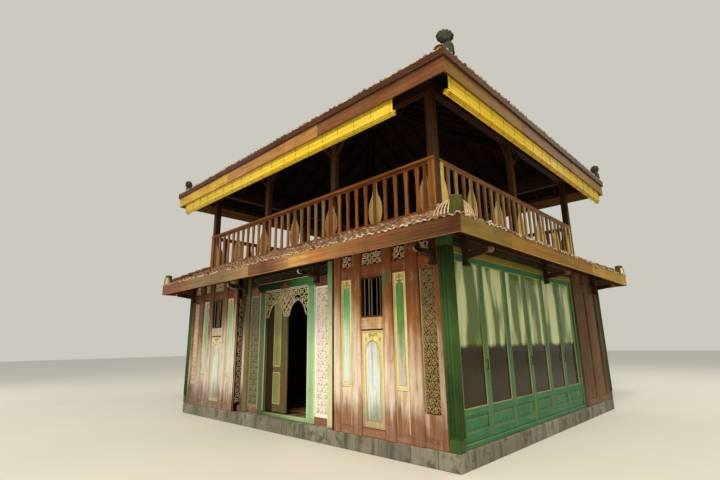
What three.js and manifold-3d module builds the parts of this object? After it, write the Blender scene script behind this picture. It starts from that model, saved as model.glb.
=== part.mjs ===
// Two-storey Javanese carved-teak house: carved front wall with a pair of pivoted doors, glazed
// folding doors along one side, a tiled skirt roof all round, and an open balustraded gallery
// under a hipped tile roof. Millimetres, +Z up, the front looks along -Y.
import * as THREE from 'three';
import { ConvexGeometry } from 'three/addons/geometries/ConvexGeometry.js';
import { mergeVertices } from 'three/addons/utils/BufferGeometryUtils.js';
import Module from 'manifold-3d';

const wasm = await Module();
wasm.setup();

// Plan of the ground floor: outer faces of the walls from the centre
const WALL_X = 3780;
const WALL_Y = 3300;
const POST = 150;
const WALL_T = 100;

// Heights
const FLOOR = 220;
const WALL_TOP = 2950;
const BEAM_TOP = 3130;
const BEAM_W = 160;
const DECK_TOP = 3170;

// Plan of the gallery: outer faces of its balustrade
const INSET = 310;
const GALLERY_X = WALL_X - INSET;
const GALLERY_Y = WALL_Y - INSET;

// Skirt roof
const SKIRT_OVERHANG = 520;
const SKIRT_RUN = INSET + SKIRT_OVERHANG;
const SKIRT_HEAD = 3470;
const SKIRT_SLOPE = 410 / SKIRT_RUN;
const SKIRT_T = 186.5;
const SKIRT_FASCIA = [2790, 3030];

// Upper roof
const EAVE_OVERHANG = 660;
const EAVE_X = GALLERY_X + EAVE_OVERHANG;
const EAVE_Y = GALLERY_Y + EAVE_OVERHANG;
const EAVE_Z = 5475;
const ROOF_SLOPE = Math.tan((30 * Math.PI) / 180);
const ROOF_T = 215;
const EAVE_FASCIA = [5110, 5455];
const EAVE_TRIM_Z = 5345;
const EAVE_TRIM_PROUD = 30;
const EAVE_LIP = 50;

// Both roofs: fascia boards, and the tile lip that runs past them on the skirt
const BOARD = 30;
const LIP = 30;
const SEAT = 0.3;

// Upper frame
const UPPER_POST = 140;
const MID_POST = 120;
const PLATE_DEPTH = 220;

// Balustrade
const RAIL_TOP = 4300;
const RAIL_DEPTH = 90;
const KERB_T = 60;
const KERB_TOP = 3485;
const SLAT_W = 70;
const SLAT_T = 40;

// Carved front wall: a niche round the doorway, and uprights and panels on each side of it, as
// distances from the doorway's centre line
const NICHE_X = 1500;
const NICHE_DEPTH = 160;
const NICHE_POST = [1240, 1370];
const UPRIGHTS = [[1500, 1690], [1950, 2150], [2600, 2790], [3050, 3270], [3540, 3630]];
const WINDOW_W = 410;
const WINDOW_Z = [1940, 2510];
const SILL_RAIL_Z = [1690, 1920];
const TOP_RAIL_Z = [2540, 2730];
const FOOT_RAIL_TOP = 340;
const RAIL_BACK = 8;
const FRONT_UPRIGHT_T = 110;
const RETURN_T = 50;

// Boarded side and back walls
const WALL_UPRIGHT = 180;
const BACK_BAY = 1500;
const BACK_WALL_BAYS = 5;

// Door frame and leaves
const DOOR_HALF = 670;
const JAMB_OUT = 870;
const FRAME_T = 90;
const SILL_TOP = 280;
const LINTEL_Z = [2580, 2740];
const LEAF_T = 40;
const LEAF_Z = [300, 2545];
const LEAF_SIDE_GAP = 10;
const PIVOT_X = 640;
const PIVOT_R = 12;
const LEAF_MEETING_GAP = 5;

// Glazed folding doors
const GLAZED_END = 1550;
const GLAZED_LEAVES = 6;
const GLAZED_HEAD = 2730;
const KICK_TOP = 680;

const TEAK = 0x8a4a2a;
const RED_TEAK = 0x7d3b22;
const GREEN = 0x3f8f62;
const DARK_GREEN = 0x24503a;
const STONE = 0x8d867a;
const TILE = 0x7e4a38;
const MOSS = 0x464a42;
const BAMBOO = 0xd39a2a;
const GLASS = 0xcfe3dc;
const DARK_WOOD = 0x3a241b;

function box(x0, x1, y0, y1, z0, z1) {
  const size = [Math.abs(x1 - x0), Math.abs(y1 - y0), z1 - z0];
  const shape = new THREE.BoxGeometry(...size);
  shape.translate((x0 + x1) / 2, (y0 + y1) / 2, (z0 + z1) / 2);
  return shape;
}

function toManifold(geometry) {
  const bare = geometry.clone();
  for (const name of ['normal', 'uv']) {
    if (bare.getAttribute(name)) {
      bare.deleteAttribute(name);
    }
  }
  const merged = mergeVertices(bare, 0.001);
  return new wasm.Manifold(new wasm.Mesh({
    numProp: 3,
    vertProperties: new Float32Array(merged.getAttribute('position').array),
    triVerts: new Uint32Array(merged.index.array),
  }));
}

function toGeometry(manifold) {
  const mesh = manifold.getMesh();
  const geometry = new THREE.BufferGeometry();
  geometry.setAttribute('position', new THREE.BufferAttribute(new Float32Array(mesh.vertProperties), 3));
  geometry.setIndex(new THREE.BufferAttribute(new Uint32Array(mesh.triVerts), 1));
  geometry.computeVertexNormals();
  return geometry;
}

function shaped(solids, cuts = []) {
  let body = toManifold(solids[0]);
  for (const piece of solids.slice(1)) {
    body = body.add(toManifold(piece));
  }
  for (const piece of cuts) {
    body = body.subtract(toManifold(piece));
  }
  return toGeometry(body);
}

const house = new THREE.Group();

function addPiece(name, geometry, color, finish = {}) {
  const material = new THREE.MeshStandardMaterial({ color, roughness: 0.75, metalness: 0, ...finish });
  const mesh = new THREE.Mesh(geometry, material);
  mesh.name = name;
  house.add(mesh);
  return mesh;
}

// A closed band with a constant profile whose two ends are cut on the mitre. profile holds points
// [across, z], end(across) is how far the band runs each way at that point, and place turns
// (along, across, z) into x, y, z.
function mitredBand(profile, end, place) {
  const count = profile.length;
  const positions = [];
  for (const side of [-1, 1]) {
    for (const [across, z] of profile) {
      positions.push(...place(side * end(across), across, z));
    }
  }
  const outline = profile.map(([a, z]) => new THREE.Vector2(a, z));
  const turn = Math.sign(THREE.ShapeUtils.area(outline));
  const index = [];
  for (const face of THREE.ShapeUtils.triangulateShape(outline, [])) {
    const agrees = Math.sign(THREE.ShapeUtils.area(face.map((i) => outline[i]))) === turn;
    const [a, b, c] = agrees ? face : [face[0], face[2], face[1]];
    index.push(a, b, c, count + a, count + c, count + b);
  }
  for (let i = 0; i < count; i += 1) {
    const j = (i + 1) % count;
    index.push(i, count + i, j, j, count + i, count + j);
  }
  const geometry = new THREE.BufferGeometry();
  geometry.setAttribute('position', new THREE.Float32BufferAttribute(positions, 3));
  geometry.setIndex(index);
  return outward(geometry);
}

// Turns a closed mesh right side out where its volume comes out negative
function outward(geometry) {
  const position = geometry.getAttribute('position');
  const index = geometry.index.array;
  const corner = (i) => new THREE.Vector3().fromBufferAttribute(position, index[i]);
  let volume = 0;
  for (let i = 0; i < index.length; i += 3) {
    volume += corner(i).dot(corner(i + 1).cross(corner(i + 2)));
  }
  if (volume < 0) {
    for (let i = 0; i < index.length; i += 3) {
      [index[i + 1], index[i + 2]] = [index[i + 2], index[i + 1]];
    }
  }
  geometry.computeVertexNormals();
  return geometry;
}

const FRONT = (along, across, z) => [along, -across, z];
const BACK = (along, across, z) => [along, across, z];
const RIGHT = (along, across, z) => [across, along, z];
const LEFT = (along, across, z) => [-across, along, z];
const SIDES = { front: FRONT, back: BACK, right: RIGHT, left: LEFT };

function plinth() {
  addPiece('plinth_floor', box(-WALL_X, WALL_X, -WALL_Y, WALL_Y, 0, FLOOR), STONE, { roughness: 0.95 });
}

function cornerPosts() {
  for (const [name, sx, sy] of [['front_right', 1, -1], ['front_left', -1, -1], ['back_right', 1, 1], ['back_left', -1, 1]]) {
    const shape = box(sx * WALL_X, sx * (WALL_X - POST), sy * WALL_Y, sy * (WALL_Y - POST), FLOOR, WALL_TOP);
    addPiece(`corner_post_${name}`, shape, DARK_GREEN);
  }
}

// Casing of a window, along +X from 0 to width with its outer face at y = 0 looking along -Y: a
// panel with foot, sill and top rails, and the window cut through the middle of it
function windowCasing(width, panel) {
  const half = WINDOW_W / 2;
  const solids = [
    box(0, width, panel[0], panel[1], FLOOR, WALL_TOP),
    box(0, width, RAIL_BACK, WALL_T - RAIL_BACK, FLOOR, FOOT_RAIL_TOP),
    box(0, width, RAIL_BACK, WALL_T - RAIL_BACK, SILL_RAIL_Z[0], SILL_RAIL_Z[1]),
    box(0, width, RAIL_BACK, WALL_T - RAIL_BACK, TOP_RAIL_Z[0], TOP_RAIL_Z[1]),
  ];
  const window = box(width / 2 - half, width / 2 + half, -20, WALL_T + 20, WINDOW_Z[0], WINDOW_Z[1]);
  return shaped(solids, [window]);
}

// The carved wall on one side of the doorway: two lengths of uprights and rails proud of thin
// panels, the casing of the window between them, and a return board back to the door frame
function carvedWall(name, side) {
  const front = -WALL_Y;
  const bar = (x0, x1, z0, z1, y0, y1) => box(side * x0, side * x1, front + y0, front + y1, z0, z1);
  const stretch = (from, to) => {
    const solids = [
      bar(from, to, FLOOR, WALL_TOP, 40, 90),
      bar(from, to, FLOOR, FOOT_RAIL_TOP, RAIL_BACK, WALL_T - RAIL_BACK),
      bar(from, to, TOP_RAIL_Z[0], TOP_RAIL_Z[1], RAIL_BACK, WALL_T - RAIL_BACK),
    ];
    for (const [x0, x1] of UPRIGHTS) {
      if (x0 >= from && x1 <= to) {
        solids.push(bar(x0, x1, FLOOR, WALL_TOP, 0, FRONT_UPRIGHT_T));
      }
    }
    return solids;
  };
  const [from, to] = [UPRIGHTS[1][1], UPRIGHTS[2][0]];
  const returnBoard = bar(NICHE_X, NICHE_X + RETURN_T, FLOOR, WALL_TOP, 0, NICHE_DEPTH + FRAME_T);
  addPiece(`front_wall_${name}_inner`, shaped([...stretch(NICHE_X, from), returnBoard]), TEAK);
  addPiece(`front_wall_${name}_outer`, shaped(stretch(to, UPRIGHTS[4][1])), TEAK);
  const casing = addPiece(`front_window_${name}`, windowCasing(to - from, [40, 90]), TEAK);
  casing.position.set(side > 0 ? from : -to, front, 0);
}

function doorFrame() {
  const y0 = -WALL_Y + NICHE_DEPTH;
  const y1 = y0 + FRAME_T;
  const solids = [
    box(-NICHE_X, NICHE_X, y0 + 20, y1 - 10, FLOOR, WALL_TOP),
    box(-JAMB_OUT, JAMB_OUT, y0, y1, FLOOR, LINTEL_Z[1]),
  ];
  for (const side of [-1, 1]) {
    solids.push(box(side * NICHE_POST[0], side * NICHE_POST[1], y0 - 35, y1, FLOOR, WALL_TOP));
    solids.push(box(side * (JAMB_OUT - 5), side * NICHE_X, y0 + 5, y1 - 5, TOP_RAIL_Z[0], TOP_RAIL_Z[1]));
    solids.push(box(side * (JAMB_OUT - 5), side * NICHE_X, y0 + 5, y1 - 5, FLOOR, FOOT_RAIL_TOP));
  }
  const opening = box(-DOOR_HALF, DOOR_HALF, y0 - 50, y1 + 50, SILL_TOP, LINTEL_Z[0]);
  addPiece('door_frame', shaped(solids, [opening]), GREEN);
}

// Openwork board across the head of the doorway, its lower edge cut as two pointed arches
function doorFretwork() {
  const top = LINTEL_Z[0];
  const foot = 2060;
  const shoulder = 2160;
  const peak = 2300;
  const outline = [[-DOOR_HALF, top], [-DOOR_HALF, foot]];
  const arch = [[70, foot + 10], [120, shoulder], [200, shoulder + 60], [290, peak - 25], [335, peak]];
  for (const centre of [-335, 335]) {
    for (const [x, z] of arch) {
      outline.push([centre - 335 + x, z]);
    }
    for (const [x, z] of arch.slice(0, -1).reverse()) {
      outline.push([centre + 335 - x, z]);
    }
    if (centre < 0) {
      outline.push([0, foot]);
    }
  }
  outline.push([DOOR_HALF, foot], [DOOR_HALF, top]);
  const y0 = -WALL_Y + NICHE_DEPTH + 5;
  const board = mitredBand(outline.map(([x, z]) => [x, z]), () => 12.5, (along, x, z) => [x, y0 + 12.5 + along, z]);
  addPiece('door_fretwork', board, TEAK);
}

// A door leaf hinged on pivot pins, built closed about its pivot with the leaf running towards
// +X: stiles and rails proud of a thin panel
function leafGeometry() {
  const x0 = -(DOOR_HALF - LEAF_SIDE_GAP - PIVOT_X);
  const x1 = PIVOT_X - LEAF_MEETING_GAP;
  const half = LEAF_T / 2;
  const pin = (z0, z1) => {
    const shape = new THREE.CylinderGeometry(PIVOT_R, PIVOT_R, z1 - z0, 12);
    shape.rotateX(Math.PI / 2);
    shape.translate(0, 0, (z0 + z1) / 2);
    return shape;
  };
  const solids = [
    box(x0, x1, -half, half, LEAF_Z[0], LEAF_Z[1]),
    pin(SILL_TOP + SEAT, LEAF_Z[0] + 10),
    pin(LEAF_Z[1] - 10, LINTEL_Z[0] - SEAT),
  ];
  const panels = [[LEAF_Z[0] + 130, 1010], [1130, LEAF_Z[1] - 120]];
  const cuts = [];
  for (const [z0, z1] of panels) {
    cuts.push(box(x0 + 110, x1 - 110, -half - 10, -half + 14, z0, z1));
    cuts.push(box(x0 + 110, x1 - 110, half - 14, half + 10, z0, z1));
  }
  return shaped(solids, cuts);
}

function doorLeaves() {
  const y = -WALL_Y + NICHE_DEPTH + FRAME_T - LEAF_T / 2;
  const left = addPiece('door_leaf_left', leafGeometry(), GREEN);
  left.position.set(-PIVOT_X, y, 0);
  const right = addPiece('door_leaf_right', leafGeometry(), GREEN);
  right.position.set(PIVOT_X, y, 0);
  right.rotation.z = Math.PI / 2;
}

// Frame of the folding doors: threshold, head and a jamb at each end
function sideDoorFrame() {
  const x0 = WALL_X - 140;
  const x1 = WALL_X - 40;
  const y0 = -WALL_Y + POST;
  const frame = box(x0, x1, y0, GLAZED_END, FLOOR, WALL_TOP);
  const opening = box(x0 - 50, x1 + 50, y0 + 60, GLAZED_END - 80, SILL_TOP, GLAZED_HEAD);
  addPiece('side_door_frame', shaped([frame], [opening]), GREEN);
}

function sideDoors() {
  const start = -WALL_Y + POST + 60;
  const width = (GLAZED_END - 80 - start) / GLAZED_LEAVES;
  const x0 = WALL_X - 110;
  const x1 = x0 + 45;
  const z0 = SILL_TOP + SEAT;
  const z1 = GLAZED_HEAD - SEAT;
  const stile = 70;
  for (let i = 0; i < GLAZED_LEAVES; i += 1) {
    const a = start + i * width + SEAT;
    const b = start + (i + 1) * width - SEAT;
    const cuts = [
      box(x0 - 20, x1 + 20, a + stile, b - stile, KICK_TOP, z1 - 90),
      box(x1 - 12, x1 + 20, a + stile, b - stile, z0 + 120, KICK_TOP - 80),
      box(x0 - 20, x0 + 12, a + stile, b - stile, z0 + 120, KICK_TOP - 80),
    ];
    addPiece(`side_door_leaf_${i + 1}`, shaped([box(x0, x1, a, b, z0, z1)], cuts), GREEN);
  }
  const pane = box(x0 - 6 - SEAT, x0 - SEAT, start + 10, GLAZED_END - 90, KICK_TOP - 30, z1 - 60);
  addPiece('side_door_glass', pane, GLASS, { roughness: 0.05, transparent: true, opacity: 0.35 });
}

// A boarded wall along +X from 0 to length, its outer face at y = 0 looking along -Y: uprights and
// rails proud of a thin panel, windows in the named bays
function boardedWall(length, bays, windowBays = []) {
  const pitch = (length - WALL_UPRIGHT) / bays;
  const solids = [
    box(0, length, 35, WALL_T - 20, FLOOR, WALL_TOP),
    box(0, length, RAIL_BACK, WALL_T - RAIL_BACK, FLOOR, FOOT_RAIL_TOP),
    box(0, length, RAIL_BACK, WALL_T - RAIL_BACK, TOP_RAIL_Z[0], TOP_RAIL_Z[1]),
  ];
  for (let i = 0; i <= bays; i += 1) {
    solids.push(box(i * pitch, i * pitch + WALL_UPRIGHT, 0, WALL_T, FLOOR, WALL_TOP));
  }
  const cuts = [];
  for (const bay of windowBays) {
    const centre = (bay + 0.5) * pitch + WALL_UPRIGHT / 2;
    const half = WINDOW_W / 2;
    const sill = [bay * pitch + 100, (bay + 1) * pitch + 80];
    solids.push(box(sill[0], sill[1], RAIL_BACK, WALL_T - RAIL_BACK, SILL_RAIL_Z[0], SILL_RAIL_Z[1]));
    for (const edge of [-1, 1]) {
      const inner = centre + edge * half;
      solids.push(box(inner, inner + edge * 90, 12, WALL_T - 12, SILL_RAIL_Z[1] - 20, TOP_RAIL_Z[0] + 20));
    }
    cuts.push(box(centre - half, centre + half, -20, WALL_T + 20, WINDOW_Z[0], WINDOW_Z[1]));
  }
  return shaped(solids, cuts);
}

function plainWalls() {
  const sideLength = 2 * (WALL_Y - POST);
  const left = addPiece('side_wall_left', boardedWall(sideLength, 6, [1, 4]), TEAK);
  left.rotation.z = -Math.PI / 2;
  left.position.set(-WALL_X, WALL_Y - POST, 0);
  const right = addPiece('side_wall_right', boardedWall(WALL_Y - POST - GLAZED_END, 2), TEAK);
  right.rotation.z = Math.PI / 2;
  right.position.set(WALL_X, GLAZED_END, 0);
}

// The back wall is boarded between two wide end bays, each the casing of a window
function backWalls() {
  const end = WALL_X - POST;
  const pieces = [
    ['back_window_right', windowCasing(BACK_BAY, [35, WALL_T - 20]), end],
    ['back_wall', boardedWall(2 * (end - BACK_BAY), BACK_WALL_BAYS), end - BACK_BAY],
    ['back_window_left', windowCasing(BACK_BAY, [35, WALL_T - 20]), BACK_BAY - end],
  ];
  for (const [name, shape, x] of pieces) {
    const piece = addPiece(name, shape, TEAK);
    piece.rotation.z = Math.PI;
    piece.position.set(x, WALL_Y, 0);
  }
}

// A bracket under the eave: a hanger on the face of the beam and an arm with an upturned tip
function console_(along, across, place) {
  const half = 35;
  const tip = across + SKIRT_OVERHANG - BOARD - 12;
  const profile = [
    [across - 20, 2960], [across, 2960], [across, 2580], [across + 70, 2580], [across + 70, 2655],
    [tip - 60, 2690], [tip, 2735], [tip - 15, 2780], [tip - 75, 2765], [across + 70, 2750],
    [across + 70, BEAM_TOP - 50], [across - 20, BEAM_TOP - 20],
  ];
  const shift = (run, far, z) => place(along + run, far, z);
  return mitredBand(profile, () => half, shift);
}

function groundBeams() {
  const frontStops = [-3560, -1150, 1150, 3560];
  const sideStops = [-2900, 0, 2900];
  for (const [name, place] of Object.entries(SIDES)) {
    const onFront = name === 'front' || name === 'back';
    const face = onFront ? WALL_Y : WALL_X;
    const length = onFront ? WALL_X : WALL_Y - BEAM_W;
    const profile = [[face - BEAM_W, WALL_TOP], [face, WALL_TOP], [face, BEAM_TOP], [face - BEAM_W, BEAM_TOP]];
    const solids = [mitredBand(profile, () => length, place)];
    for (const along of onFront ? frontStops : sideStops) {
      solids.push(console_(along, face, place));
    }
    addPiece(`ground_beam_${name}`, shaped(solids), DARK_WOOD);
  }
}

// Floor of the gallery: boards on joists that run from the front beam to the back beam
function upperFloor() {
  const solids = [box(-GALLERY_X - 170, GALLERY_X + 170, -GALLERY_Y - 170, GALLERY_Y + 170, BEAM_TOP, DECK_TOP)];
  for (let i = -4; i <= 4; i += 1) {
    const reach = WALL_Y - BEAM_W;
    solids.push(box(i * 800 - 40, i * 800 + 40, -reach, reach, WALL_TOP + 20, BEAM_TOP + 10));
  }
  addPiece('upper_floor', shaped(solids), DARK_WOOD);
}

const skirtTop = (out) => SKIRT_HEAD - SKIRT_SLOPE * out;

// Four mitred slopes of the skirt roof. Distances run outward from the gallery's kerb
function skirtRoof() {
  const boardIn = SKIRT_RUN - BOARD;
  const lip = SKIRT_RUN + LIP;
  const profile = [
    [0, skirtTop(0) - SKIRT_T], [boardIn, skirtTop(boardIn) - SKIRT_T], [boardIn, SKIRT_FASCIA[1] + SEAT],
    [lip, SKIRT_FASCIA[1] + SEAT], [lip, skirtTop(lip)], [0, skirtTop(0)],
  ];
  for (const [name, place] of Object.entries(SIDES)) {
    const onFront = name === 'front' || name === 'back';
    const base = onFront ? GALLERY_Y : GALLERY_X;
    const other = onFront ? GALLERY_X : GALLERY_Y;
    const spot = (along, out, z) => place(along, base + out, z);
    addPiece(`skirt_roof_${name}`, mitredBand(profile, (out) => other + out - SEAT / 2, spot), TILE);
  }
}

function boardRing(x, y, z0, z1, thickness) {
  const outer = box(-x, x, -y, y, z0, z1);
  const inner = box(-x + thickness, x - thickness, -y + thickness, y - thickness, z0 - 10, z1 + 10);
  return toManifold(outer).subtract(toManifold(inner));
}

function fascias() {
  const skirt = boardRing(GALLERY_X + SKIRT_RUN, GALLERY_Y + SKIRT_RUN, ...SKIRT_FASCIA, BOARD);
  addPiece('skirt_fascia', toGeometry(skirt), RED_TEAK);
  const lower = boardRing(EAVE_X, EAVE_Y, ...EAVE_FASCIA, BOARD);
  const [trimX, trimY] = [EAVE_X + EAVE_TRIM_PROUD, EAVE_Y + EAVE_TRIM_PROUD];
  const trim = boardRing(trimX, trimY, EAVE_TRIM_Z, EAVE_FASCIA[1], BOARD + EAVE_TRIM_PROUD);
  addPiece('eave_fascia', toGeometry(lower.add(trim)), RED_TEAK);
}

// Cap tiles along a hip from low to high point: a rounded section standing on the line
function hipCap(low, high, halfWidth, height) {
  const run = new THREE.Vector3().subVectors(high, low);
  const across = new THREE.Vector3(-run.y, run.x, 0).normalize();
  const section = [
    [-halfWidth, -90], [halfWidth, -90], [halfWidth, height * 0.3], [halfWidth * 0.6, height * 0.8],
    [0, height], [-halfWidth * 0.6, height * 0.8], [-halfWidth, height * 0.3],
  ];
  const spot = (end, sideways, up) => {
    const point = end < 0 ? low : high;
    return [point.x + across.x * sideways, point.y + across.y * sideways, point.z + up];
  };
  return mitredBand(section, () => 1, spot);
}

// An upright ornament facing out over a corner. outline holds points [sideways, z]
function cornerOrnament(outline, corner, inward, thickness) {
  const across = new THREE.Vector3(-inward.y, inward.x, 0);
  const spot = (along, sideways, z) => [
    corner.x + inward.x * along + across.x * sideways,
    corner.y + inward.y * along + across.y * sideways,
    corner.z + z,
  ];
  return mitredBand(outline, () => thickness / 2, spot);
}

const corners = [['front_right', 1, -1], ['front_left', -1, -1], ['back_right', 1, 1], ['back_left', -1, 1]];

// Hip tiles of the skirt roof, each with a mossy block standing at the eave corner
function skirtHips() {
  const far = 2 * SKIRT_RUN;
  const under = [];
  for (const [, sx, sy] of corners) {
    under.push(new THREE.Vector3(sx * GALLERY_X, sy * GALLERY_Y, SKIRT_HEAD + SEAT));
    under.push(new THREE.Vector3(sx * (GALLERY_X + far), sy * (GALLERY_Y + far), skirtTop(far) + SEAT));
    under.push(new THREE.Vector3(sx * (GALLERY_X + far), sy * (GALLERY_Y + far), FLOOR));
  }
  const cover = new ConvexGeometry(under);
  const kerb = box(-GALLERY_X - SEAT, GALLERY_X + SEAT, -GALLERY_Y - SEAT, GALLERY_Y + SEAT, 3000, 4000);
  const lip = SKIRT_RUN + LIP;
  for (const [name, sx, sy] of corners) {
    const low = new THREE.Vector3(sx * (GALLERY_X + lip - 50), sy * (GALLERY_Y + lip - 50), skirtTop(lip - 50));
    const high = new THREE.Vector3(sx * (GALLERY_X - 20), sy * (GALLERY_Y - 20), skirtTop(-20));
    const inward = new THREE.Vector3(-sx, -sy, 0).normalize();
    const seat = low.clone().addScaledVector(inward, 90);
    const block = [[-75, -60], [75, -60], [80, 110], [60, 190], [25, 225], [-25, 225], [-60, 190], [-80, 110]];
    const solids = [hipCap(low, high, 65, 70), cornerOrnament(block, seat, inward, 130)];
    addPiece(`skirt_hip_${name}`, shaped(solids, [cover, kerb]), MOSS);
  }
}

// Outline of a flat vase-shaped board from the kerb to the rail, as points [half width, z]
function vaseSide() {
  const foot = KERB_TOP - 5;
  const top = RAIL_TOP - RAIL_DEPTH + 5;
  return [[110, foot], [150, foot + 130], [150, foot + 300], [110, foot + 430], [52, foot + 560], [45, top]];
}

function vaseBoard(centre, leftShare, rightShare) {
  const side = vaseSide();
  const outline = side.map(([half, z]) => [centre + half * rightShare, z]);
  for (const [half, z] of side.slice().reverse()) {
    outline.push([centre - half * leftShare, z]);
  }
  return outline;
}

// A balustrade from -reach to reach: kerb, slats with a vase-shaped board in the middle of each bay,
// a broad board with half vases between bays, and the rail
function balustrade(name, reach, bays, perBay) {
  const onFront = name === 'front' || name === 'back';
  const place = SIDES[name];
  const face = onFront ? GALLERY_Y : GALLERY_X;
  const plank = (a0, a1, z0, z1, in0, in1) => {
    const profile = [[face - in1, z0], [face - in0, z0], [face - in0, z1], [face - in1, z1]];
    const middle = (a0 + a1) / 2;
    return mitredBand(profile, () => (a1 - a0) / 2, (run, far, z) => place(middle + run, far, z));
  };
  const board = (outline) => mitredBand(outline, () => 15, (run, along, z) => place(along, face - 25 + run, z));
  const slatZ = [KERB_TOP - 5, RAIL_TOP - RAIL_DEPTH + 5];
  const solids = [
    plank(-reach, reach, DECK_TOP, KERB_TOP, 0, KERB_T),
    plank(-reach, reach, RAIL_TOP - RAIL_DEPTH, RAIL_TOP, -8, KERB_T - 8),
  ];
  const bay = (2 * reach) / bays;
  for (let i = 0; i < bays; i += 1) {
    const start = -reach + i * bay;
    const step = bay / (perBay + 1);
    for (let k = 1; k <= perBay; k += 1) {
      const centre = start + k * step;
      if (k === (perBay + 1) / 2) {
        solids.push(board(vaseBoard(centre, 1, 1)));
      } else {
        solids.push(plank(centre - SLAT_W / 2, centre + SLAT_W / 2, ...slatZ, 5, 5 + SLAT_T));
      }
    }
    if (i > 0) {
      solids.push(board(vaseBoard(start, 1.1, 1.1)));
      solids.push(plank(start - 60, start + 60, ...slatZ, 3, KERB_T - 10));
    }
  }
  solids.push(board(vaseBoard(-reach + 40, 0.5, 1)), plank(-reach, -reach + 100, ...slatZ, 3, KERB_T - 10));
  solids.push(board(vaseBoard(reach - 40, 1, 0.5)), plank(reach - 100, reach, ...slatZ, 3, KERB_T - 10));
  const ends = [1, -1].map((end) => plank(Math.min(end * reach, end * (reach + 300)),
    Math.max(end * reach, end * (reach + 300)), 3000, 4500, -60, 200));
  addPiece(`balustrade_${name}`, shaped(solids, ends), TEAK);
}

function balustrades() {
  const frontReach = GALLERY_X - UPPER_POST;
  const sideReach = GALLERY_Y - UPPER_POST;
  for (const name of ['front', 'back']) {
    balustrade(name, frontReach, 3, 9);
  }
  for (const name of ['right', 'left']) {
    balustrade(name, sideReach, 3, 7);
  }
}

const roofTop = (inset) => EAVE_Z + ROOF_SLOPE * inset;
const roofUnder = (inset) => roofTop(inset) - ROOF_T;

// Posts and wall plate of the gallery, one portal a side. The plate's top follows the rafters
function upperFrames() {
  const plateIn = EAVE_OVERHANG + EAVE_LIP;
  const plateTop = roofUnder(plateIn) - SEAT;
  const bottom = plateTop - PLATE_DEPTH;
  for (const [name, place] of Object.entries(SIDES)) {
    const onFront = name === 'front' || name === 'back';
    const face = onFront ? GALLERY_Y : GALLERY_X;
    const end = onFront ? GALLERY_X : GALLERY_Y - UPPER_POST;
    const plate = [
      [face - UPPER_POST, bottom], [face, bottom], [face, plateTop],
      [face - UPPER_POST, plateTop],
    ];
    const solids = [mitredBand(plate, () => end, place)];
    const stops = onFront ? [-1110, 1110] : [0];
    for (const along of stops) {
      const post = [
        [face - KERB_T - MID_POST, DECK_TOP], [face - KERB_T, DECK_TOP],
        [face - KERB_T, bottom + 10], [face - KERB_T - MID_POST, bottom + 10],
      ];
      solids.push(mitredBand(post, () => MID_POST / 2, (run, far, z) => place(along + run, far, z)));
    }
    if (onFront) {
      for (const side of [-1, 1]) {
        const post = [
          [face - UPPER_POST, DECK_TOP], [face, DECK_TOP], [face, bottom + 10], [face - UPPER_POST, bottom + 10],
        ];
        const middle = side * (GALLERY_X - UPPER_POST / 2);
        solids.push(mitredBand(post, () => UPPER_POST / 2, (run, far, z) => place(middle + run, far, z)));
      }
    }
    addPiece(`upper_frame_${name}`, shaped(solids), DARK_WOOD);
  }
}

// Four mitred slopes of the upper roof. Distances run inward from the tile lip
function upperRoof() {
  const lipX = EAVE_X + EAVE_LIP;
  const lipY = EAVE_Y + EAVE_LIP;
  const boardIn = EAVE_LIP + BOARD;
  for (const [name, place] of Object.entries(SIDES)) {
    const onFront = name === 'front' || name === 'back';
    const reach = onFront ? lipX : lipY;
    const base = onFront ? lipY : lipX;
    const top = lipY - (onFront ? SEAT / 2 : 30);
    const profile = [
      [boardIn, roofUnder(boardIn)], [boardIn, EAVE_FASCIA[1] + SEAT], [0, EAVE_FASCIA[1] + SEAT],
      [0, EAVE_Z], [top, roofTop(top)], [top, roofUnder(top)],
    ];
    const spot = (along, inset, z) => place(along, base - inset, z);
    addPiece(`roof_${name}`, mitredBand(profile, (inset) => reach - inset - SEAT / 2, spot), TILE);
  }
}

// Ridge and hip cap tiles in one, with a fluted shell ornament standing at each eave corner
function roofRidge() {
  const lipX = EAVE_X + EAVE_LIP;
  const lipY = EAVE_Y + EAVE_LIP;
  const ridgeHalf = lipX - lipY;
  const out = 400;
  const under = [];
  for (const [, sx, sy] of corners) {
    under.push(new THREE.Vector3(sx * (lipX + out), sy * (lipY + out), roofTop(-out) + SEAT));
    under.push(new THREE.Vector3(sx * (lipX + out), sy * (lipY + out), 4500));
  }
  for (const side of [-1, 1]) {
    under.push(new THREE.Vector3(side * ridgeHalf, 0, roofTop(lipY) + SEAT));
  }
  const cover = new ConvexGeometry(under);
  const peak = (sx) => new THREE.Vector3(sx * ridgeHalf, 0, roofTop(lipY));
  const solids = [hipCap(peak(-1).setX(-ridgeHalf - 90), peak(1).setX(ridgeHalf + 90), 85, 120)];
  for (const [, sx, sy] of corners) {
    const low = new THREE.Vector3(sx * (lipX - 45), sy * (lipY - 45), roofTop(45));
    solids.push(hipCap(low, peak(sx), 75, 85));
    const inward = new THREE.Vector3(-sx, -sy, 0).normalize();
    const shell = [
      [-55, -60], [55, -60], [50, 95], [85, 135], [130, 180], [135, 235], [105, 295], [45, 325],
      [-45, 325], [-105, 295], [-135, 235], [-130, 180], [-85, 135], [-50, 95],
    ];
    solids.push(cornerOrnament(shell, low.clone().addScaledVector(inward, 75), inward, 110));
  }
  addPiece('roof_ridge', shaped(solids, [cover]), MOSS);
}

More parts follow.
